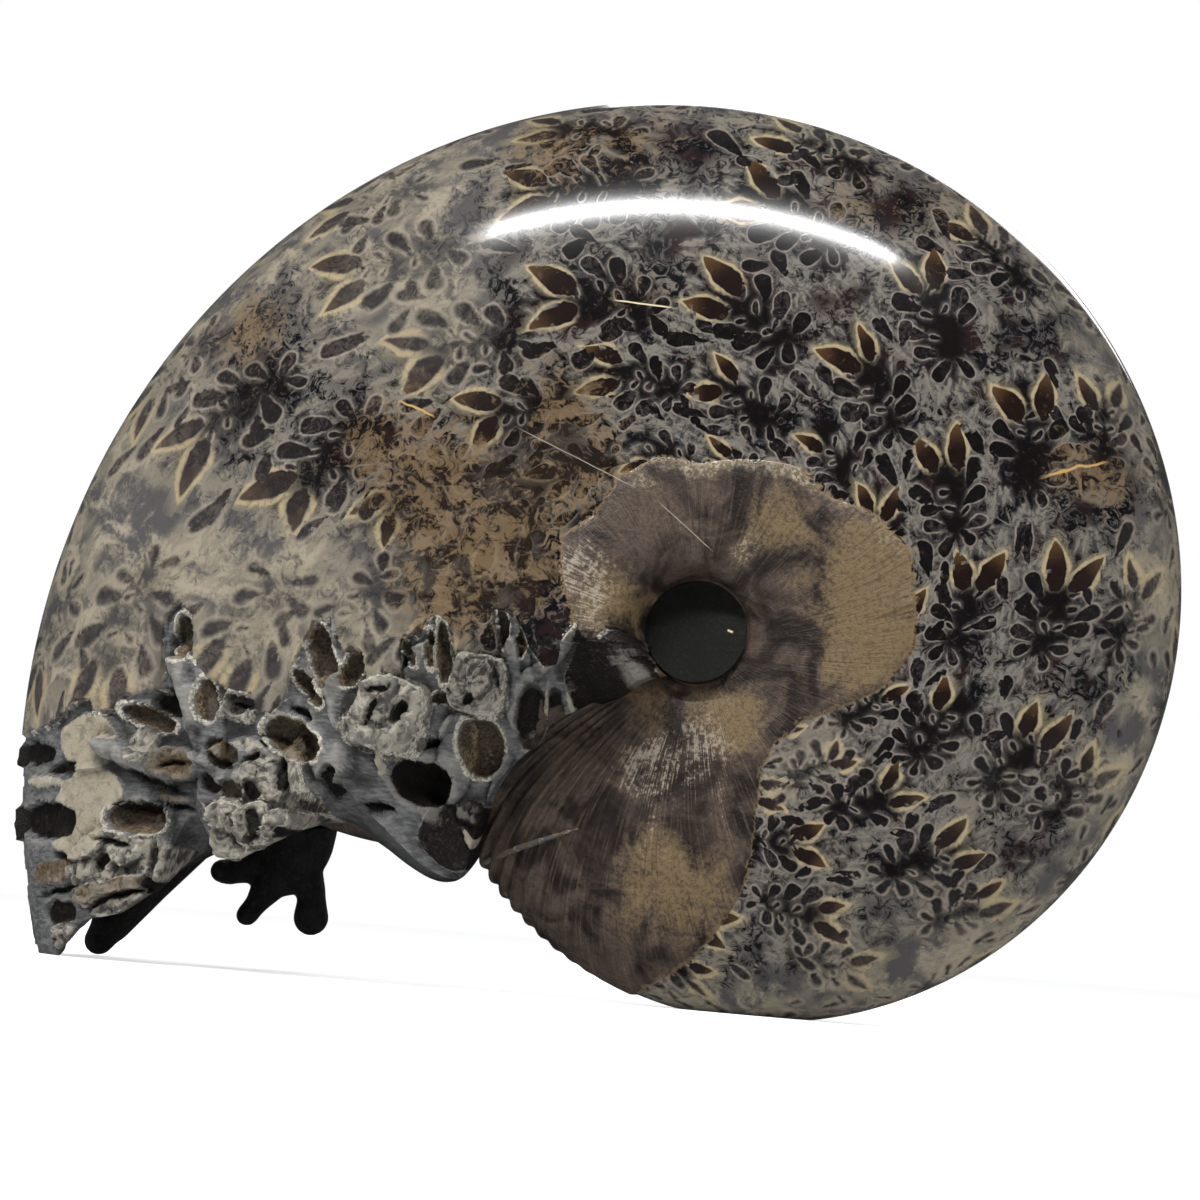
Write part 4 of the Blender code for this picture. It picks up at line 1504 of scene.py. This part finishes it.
SHELL_GROUP = shell_group()

# %% [markdown]
# ## Cracks and scratches
#
# A few straight marks cross the stone: a crack that has filled with gold-brown mud, one pale
# fibre, and scratches on the brown shell. Each is a line between two places on the flank. A
# small group measures how far a point is from such a line, and a bent noise keeps it from
# looking ruled.

# %% The scratch group


def scratch_group():
    group, given, out = new_group(
        "scratch", (("Place", "Vector"), ("Start", "Vector"), ("End", "Vector"), ("Width", "Float")),
        (("Mask", "Float"),))
    t = group
    flat = add_node(t, "ShaderNodeVectorMath", given.outputs["Place"], (1, 0, 1), operation="MULTIPLY")
    way = add_node(t, "ShaderNodeVectorMath", given.outputs["End"], given.outputs["Start"],
                   operation="SUBTRACT").outputs[0]
    from_start = add_node(t, "ShaderNodeVectorMath", flat.outputs[0], given.outputs["Start"],
                          operation="SUBTRACT").outputs[0]
    length = add_node(t, "ShaderNodeVectorMath", way, way, operation="DOT_PRODUCT").outputs["Value"]
    walked = add_node(t, "ShaderNodeVectorMath", from_start, way,
                      operation="DOT_PRODUCT").outputs["Value"]
    share = sum_of(t, "DIVIDE", walked, length, clamp=True)
    nearest = add_node(t, "ShaderNodeVectorMath", way, operation="SCALE")
    feed(t, nearest.inputs["Scale"], share)
    away = add_node(t, "ShaderNodeVectorMath", from_start, nearest.outputs[0], operation="DISTANCE")
    fade = band(t, sum_of(t, "ABSOLUTE", sum_of(t, "SUBTRACT", share, 0.5)), 0.5, 0.3)
    line = band(t, sum_of(t, "DIVIDE", away.outputs["Value"], given.outputs["Width"]), 1.0, 0.4)
    feed(t, out.inputs["Mask"], sum_of(t, "MULTIPLY", line, fade))
    return group


SCRATCH_GROUP = scratch_group()

# Each mark: radius and angle of its two ends, its width in mm, its colour, and how crooked.
GOLD = (0.42, 0.27, 0.10, 1.0)
FIBRE = (0.62, 0.52, 0.34, 1.0)
SCRATCHED = (0.30, 0.26, 0.21, 1.0)
MARKS = (
    (58, 29.6, 69, 28.2, 0.30, GOLD, 1.0), (61, 144.6, 53, 143.0, 0.26, GOLD, 1.0),
    (55.3, 107.9, 52.1, 97.2, 0.17, FIBRE, 0.15), (22.5, 108.5, 13.8, 79.5, 0.09, SCRATCHED, 0.1),
    (44, 134, 24, 112, 0.09, SCRATCHED, 0.1), (5.0, 34, 5.8, 24, 0.24, FIBRE, 1.0),
)
CROOKED = 0.0016


def draw_marks(t, where, near, bent, colour):
    """Draws the marks over a colour, on the near flank only."""
    for first, first_turn, last, last_turn, width, tone, crooked in MARKS:
        moved = add_node(t, "ShaderNodeVectorMath", bent, operation="SCALE")
        moved.inputs["Scale"].default_value = CROOKED * crooked
        moved = add_node(t, "ShaderNodeVectorMath", where, moved.outputs[0], operation="ADD").outputs[0]
        mark = use_group(t, SCRATCH_GROUP, Place=moved, Start=tuple(place(first, 0.0, first_turn)),
                         End=tuple(place(last, 0.0, last_turn)), Width=width * MM)
        colour = mix(t, sum_of(t, "MULTIPLY", mark["Mask"], near), colour, tone)
    return colour


# %% The look of the skin: polished stone, brown shell and plug
PLUG_BLACK = (0.006, 0.006, 0.004, 1.0)
PLUG_GREY = (0.013, 0.013, 0.008, 1.0)
TAN_EDGE = (0.20, 0.135, 0.07, 1.0)
HAZE = 0.28


def polished_colour(t, where, bent):
    """Colour of the polished stone with its leaves, and its clouds and smoke."""
    milky = read(t, "milky").outputs["Fac"]
    rusty = read(t, "rusty").outputs["Fac"]
    ground = use_group(t, GROUND_GROUP, Place=where, Milky=milky, Spine=read(t, "spine").outputs["Fac"])
    shifts = []
    for wobble, strength in ((bent[0], 1.0), (bent[1], 0.9)):
        shift = add_node(t, "ShaderNodeVectorMath", wobble, operation="SCALE")
        shift.inputs["Scale"].default_value = strength
        shifts.append(shift.outputs[0])
    colour = ground["Color"]
    for letter in "cba":
        place_there = read(t, "leaf_" + letter)
        form = read(t, "form_" + letter)
        leaf = use_group(t, LEAF_GROUP, Place=place_there.outputs["Vector"],
                         Form=form.outputs["Color"], Kind=form.outputs["Alpha"],
                         Shift=shifts[0], Frill=shifts[1], Milky=milky,
                         Cloud=ground["Smoke"], Ground=colour)
        colour = leaf["Color"]
    haze = sum_of(t, "MULTIPLY", band(t, milky, 0.25, 1.0), band(t, ground["Smoke"], 0.35, 0.65))
    tone = mix(t, band(t, ground["Cloud"], 0.42, 0.58), MILK_DARK, MILK)
    colour = mix(t, sum_of(t, "MULTIPLY", haze, HAZE), colour, tone)
    rust = sum_of(t, "ADD", rusty, sum_of(t, "MULTIPLY_ADD", ground["Smoke"], 2.4, -1.2))
    patchy = sum_of(t, "MULTIPLY_ADD", ground["Smoke"], 0.8, ground["Cloud"])
    rust_tone = mix(t, band(t, patchy, 0.84, 1.00), RUST_DARK, RUST)
    colour = mix(t, sum_of(t, "MULTIPLY", band(t, rust, 0.20, 0.95), 0.80), colour, rust_tone)
    return colour, ground["Cloud"], ground["Smoke"]


def skin_look(t, where):
    """Colour, roughness and height of the whole skin."""
    bent = []
    for scale in (330.0, 1100.0):
        wobble = spots_of(t, where, scale, 1.0, 0.5).outputs["Color"]
        bent.append(add_node(t, "ShaderNodeVectorMath", wobble, (0.5, 0.5, 0.5),
                             operation="SUBTRACT").outputs[0])
    colour, cloud, smoke = polished_colour(t, where, bent)
    fine = spots_of(t, where, 1500.0, 2.0, 0.7).outputs["Fac"]
    reach = read(t, "shell_depth").outputs["Fac"]
    depth = sum_of(t, "ADD", reach, sum_of(t, "MULTIPLY_ADD", smoke, 4.0, -2.0))
    shell = use_group(t, SHELL_GROUP, Fine=fine, Cloud=cloud, Amber=read(t, "amber").outputs["Fac"],
                      Angle=read(t, "coil_angle").outputs["Fac"],
                      Radius=read(t, "coil_radius").outputs["Fac"],
                      Crusty=read(t, "crusty").outputs["Fac"], Pitted=read(t, "pitted").outputs["Fac"])
    on_shell = band(t, depth, -0.12, 0.12)
    colour = mix(t, on_shell, colour, shell["Color"])
    rim = sum_of(t, "MULTIPLY", band(t, sum_of(t, "ABSOLUTE", depth), 0.5, 0.1), 0.6)
    colour = mix(t, rim, colour, TAN_EDGE)
    plug = band(t, read(t, "plug").outputs["Fac"], 0.4, 0.6)
    plug_colour = mix(t, band(t, fine, 0.50, 0.70), PLUG_BLACK, PLUG_GREY)
    colour = mix(t, plug, colour, plug_colour)
    near = band(t, add_node(t, "ShaderNodeSeparateXYZ", where).outputs["Y"], 0.0, -0.002)
    colour = draw_marks(t, where, near, bent[0], colour)
    dull = sum_of(t, "MAXIMUM", on_shell, plug)
    roughness = blend_values(t, dull, 0.14, sum_of(t, "MULTIPLY_ADD", plug, 0.3, 0.48))
    rough_places = sum_of(t, "MAXIMUM", band(t, reach, -0.3, 0.3), plug)
    height = sum_of(t, "MULTIPLY", sum_of(t, "MULTIPLY_ADD", shell["Height"], 0.5, fine), rough_places)
    return colour, roughness, height, sum_of(t, "SUBTRACT", 1.0, dull, clamp=True)


# %% [markdown]
# ## The finishes of the broken wall, and its painted shade
#
# The wall itself is grey and brushed. Sand fills its pits, a white crust lines their edges,
# and the calcite is half clear with pale veins. Each finish is mixed in where the sheet says
# so, and a fine noise makes the borders ragged, finer than the faces are. Last, shade is
# painted into the hollows and under the arch, and light onto the high places.

# %% The wall group
WALL_GREY = (0.150, 0.152, 0.154, 1.0)
WALL_GREY_DARK = (0.070, 0.070, 0.071, 1.0)
WALL_SAND = (0.185, 0.132, 0.072, 1.0)
WALL_SAND_DARK = (0.050, 0.034, 0.019, 1.0)
WALL_CRUST = (0.50, 0.47, 0.40, 1.0)
WALL_CRUST_DARK = (0.17, 0.15, 0.12, 1.0)
WALL_GLASS = (0.29, 0.265, 0.215, 1.0)
WALL_GLASS_DARK = (0.055, 0.050, 0.045, 1.0)
WALL_DARK = (0.010, 0.008, 0.007, 1.0)
WALL_MAROON = (0.045, 0.030, 0.022, 1.0)
WALL_CREAM = (0.30, 0.26, 0.19, 1.0)
WALL_BROWN = (0.110, 0.076, 0.043, 1.0)
WALL_SHADE = (0.014, 0.014, 0.015, 1.0)


def wall_group():
    group, given, out = new_group(
        "broken_wall",
        (("Place", "Vector"), ("First", "Color"), ("Dark", "Float"), ("Second", "Color"),
         ("Standing", "Float")),
        (("Color", "Color"), ("Height", "Float")),
    )
    t = group
    where = given.outputs["Place"]
    fine = spots_of(t, where, 1900.0, 2.0, 0.75).outputs["Fac"]
    coarse = spots_of(t, where, 480.0, 3.0, 0.65, 0.8).outputs["Fac"]
    brushed_at = add_node(t, "ShaderNodeMapping", where)
    brushed_at.inputs["Rotation"].default_value = (0.0, 0.6, 0.0)
    brushed_at.inputs["Scale"].default_value = (1.0, 1.0, 4.0)
    brushed = spots_of(t, brushed_at.outputs[0], 420.0, 2.0, 0.7).outputs["Fac"]
    shaggy = sum_of(t, "ADD", sum_of(t, "MULTIPLY", fine, 0.45), sum_of(t, "MULTIPLY_ADD", coarse, 0.6, -0.52))

    def cover(mask):
        return band(t, sum_of(t, "ADD", mask, shaggy), 0.42, 0.58)

    sand, crust, glass = add_node(t, "ShaderNodeSeparateColor", given.outputs["First"]).outputs
    cream, brown, shade = add_node(t, "ShaderNodeSeparateColor", given.outputs["Second"]).outputs
    colour = mix(t, band(t, brushed, 0.35, 0.68), WALL_GREY_DARK, WALL_GREY)
    colour = mix(t, cover(glass), colour, mix(t, band(t, coarse, 0.42, 0.60), WALL_GLASS_DARK, WALL_GLASS))
    colour = mix(t, cover(sand), colour, mix(t, band(t, fine, 0.38, 0.60), WALL_SAND_DARK, WALL_SAND))
    colour = mix(t, cover(brown), colour, mix(t, band(t, fine, 0.30, 0.55), WALL_SAND_DARK, WALL_BROWN))
    colour = mix(t, cover(cream), colour, mix(t, band(t, coarse, 0.30, 0.52), WALL_CRUST_DARK, WALL_CREAM))
    colour = mix(t, cover(given.outputs["Dark"]), colour,
                 mix(t, band(t, fine, 0.52, 0.70), WALL_DARK, WALL_MAROON))
    colour = mix(t, cover(crust), colour, mix(t, band(t, fine, 0.38, 0.58), WALL_CRUST_DARK, WALL_CRUST))
    # Painted shade in the hollows and painted light on the high places, by how high each point stands.
    standing = sum_of(t, "ADD", given.outputs["Standing"], sum_of(t, "MULTIPLY_ADD", fine, 0.3, -0.15))
    colour = mix(t, sum_of(t, "MULTIPLY", band(t, standing, 0.46, 0.14), 0.65), colour, WALL_DARK)
    painted_ridge_light = mix(t, 0.5, colour, WALL_CRUST)
    colour = mix(t, sum_of(t, "MULTIPLY", band(t, standing, 0.66, 1.0), 0.45), colour, painted_ridge_light)
    colour = mix(t, shade, colour, WALL_SHADE)
    feed(t, out.inputs["Color"], colour)
    feed(t, out.inputs["Height"], fine)
    return group


WALL_GROUP = wall_group()

# %% The two materials
BUMP_DISTANCE = 0.00035


def add_bump(t, shader, height, strength):
    bump = t.nodes.new("ShaderNodeBump")
    bump.inputs["Strength"].default_value = strength
    bump.inputs["Distance"].default_value = BUMP_DISTANCE
    feed(t, bump.inputs["Height"], height)
    t.links.new(bump.outputs[0], shader.inputs["Normal"])


def new_material(name):
    material = bpy.data.materials.new(name)
    material.use_nodes = True
    t = material.node_tree
    return material, t, t.nodes["Principled BSDF"], add_node(t, "ShaderNodeTexCoord").outputs["Object"]


def polished_material():
    material, t, shader, where = new_material("polished_fossil")
    colour, roughness, height, clear = skin_look(t, where)
    feed(t, shader.inputs["Base Color"], colour)
    feed(t, shader.inputs["Roughness"], roughness)
    feed(t, shader.inputs["Coat Weight"], sum_of(t, "MULTIPLY", clear, 0.35))
    shader.inputs["Coat Roughness"].default_value = 0.05
    add_bump(t, shader, height, 0.6)
    return material


def broken_material():
    material, t, shader, where = new_material("broken_stone")
    colour, roughness, height, clear = skin_look(t, where)
    first, second = read(t, "finish_one"), read(t, "finish_and_shade")
    wall = use_group(t, WALL_GROUP, Place=where, First=first.outputs["Color"],
                     Dark=first.outputs["Alpha"], Second=second.outputs["Color"],
                     Standing=second.outputs["Alpha"])
    broken = band(t, read(t, "below_skin").outputs["Fac"], 0.0, 0.12)
    feed(t, shader.inputs["Base Color"], mix(t, broken, colour, wall["Color"]))
    feed(t, shader.inputs["Roughness"], blend_values(t, broken, roughness, 0.55))
    whole = sum_of(t, "SUBTRACT", 1.0, broken)
    feed(t, shader.inputs["Coat Weight"], sum_of(t, "MULTIPLY", sum_of(t, "MULTIPLY", clear, 0.35), whole))
    shader.inputs["Coat Roughness"].default_value = 0.05
    add_bump(t, shader, blend_values(t, broken, height, wall["Height"]), 0.7)
    return material


coil.data.materials.append(polished_material())
broken_end.data.materials.append(broken_material())

# %% [markdown]
# ## Saddles of the far side
#
# Under the broken end, saddles of the wall that belong to the far side hang down. The largest
# looks like a star with round-ended arms. Each is built from balls set along its arms, which
# are joined, wrapped in one even skin and smoothed, as a figure is modelled in clay.

# %% The hanging saddles
BALLS_PER_ARM = 9
CLAY_VOXEL = 0.0005

# Each arm: the picture places of its two ends, their depth in mm, and their radii in pixels.
SADDLE_ARMS = (
    ((302, 800), (298, 845), (20, 20), (44, 38)), ((298, 845), (288, 866), (20, 20), (38, 32)),
    ((300, 868), (312, 892), (20, 20), (24, 15)), ((312, 892), (311, 918), (20, 21), (14, 19)),
    ((276, 876), (256, 904), (20, 19), (22, 12)), ((256, 904), (247, 915), (19, 18), (12, 12)),
    ((266, 862), (230, 872), (20, 19), (22, 13)), ((230, 872), (222, 871), (19, 18), (14, 13)),
    ((406, 826), (422, 852), (18, 18), (18, 15)), ((422, 852), (431, 866), (18, 18), (12, 8)),
    ((196, 846), (150, 884), (13, 13), (18, 22)), ((150, 884), (112, 922), (13, 13), (22, 22)),
    ((112, 922), (99, 940), (13, 12), (20, 16)),
)
STRIP_ARMS = (
    ((486, 861), (505, 853), (-3.9, -7.8), (4.5, 4)), ((505, 853), (522, 847), (-7.8, -9.7), (4, 3.8)),
    ((522, 847), (540, 841), (-9.7, -11.3), (3.8, 3.4)), ((540, 841), (577, 829), (-11.3, -12.7), (3.4, 2.2)),
)


def add_clay(name, arms, voxel):
    """Balls along arms, joined and wrapped in one skin."""
    balls = []
    for (from_x, from_y), (to_x, to_y), depths, sizes in arms:
        for step in np.linspace(0.0, 1.0, BALLS_PER_ARM):
            spot = at_picture(from_x + (to_x - from_x) * step, from_y + (to_y - from_y) * step,
                              depths[0] + (depths[1] - depths[0]) * step)
            size = (sizes[0] + (sizes[1] - sizes[0]) * step) / PIXELS_PER_MM * MM
            bpy.ops.object.select_all(action="DESELECT")
            bpy.ops.mesh.primitive_ico_sphere_add(subdivisions=2, radius=size, location=spot)
            balls.append(bpy.context.object)
    for ball in balls:
        ball.select_set(True)
    bpy.ops.object.join()
    clay = bpy.context.object
    clay.name = name
    bpy.ops.object.transform_apply(location=True, rotation=True, scale=True)
    wrap = clay.modifiers.new("wrap", "REMESH")
    wrap.mode = "VOXEL"
    wrap.voxel_size = voxel
    bpy.ops.object.modifier_apply(modifier="wrap")
    relax = clay.modifiers.new("relax", "SMOOTH")
    relax.iterations = 6
    bpy.ops.object.modifier_apply(modifier="relax")
    bpy.ops.object.shade_smooth()
    print(name, len(clay.data.polygons), "faces")
    return clay


def clay_material(name, low, high, speck, roughness):
    material, t, shader, where = new_material(name)
    fine = spots_of(t, where, 1500.0, 2.0, 0.7).outputs["Fac"]
    cloud = spots_of(t, where, 420.0, 2.0, 0.6).outputs["Fac"]
    colour = mix(t, band(t, cloud, 0.40, 0.60), low, high)
    feed(t, shader.inputs["Base Color"], mix(t, band(t, fine, 0.54, 0.70), colour, speck))
    shader.inputs["Roughness"].default_value = roughness
    add_bump(t, shader, fine, 0.7)
    return material


saddles = add_clay("hanging_saddles", SADDLE_ARMS, CLAY_VOXEL)
# Their stone is coloured near black as painted shade, for they hang in shade under the broken end.
saddles.data.materials.append(clay_material("saddle_stone_painted_shade", WALL_DARK, WALL_SHADE, WALL_MAROON, 0.42))

# %% [markdown]
# One thin pale strip of the wall is left lying across the ribs, made in the same way.

# %% The strip on the ribs
STRIP_VOXEL = 0.00025
strip = add_clay("wall_strip", STRIP_ARMS, STRIP_VOXEL)
strip.data.materials.append(clay_material("strip_stone", WALL_GREY_DARK, WALL_BROWN, WALL_CREAM, 0.6))

# %% The pieces ride on the body
for piece in (coil, broken_end, saddles, strip):
    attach(piece, "root")
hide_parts("ammonite")
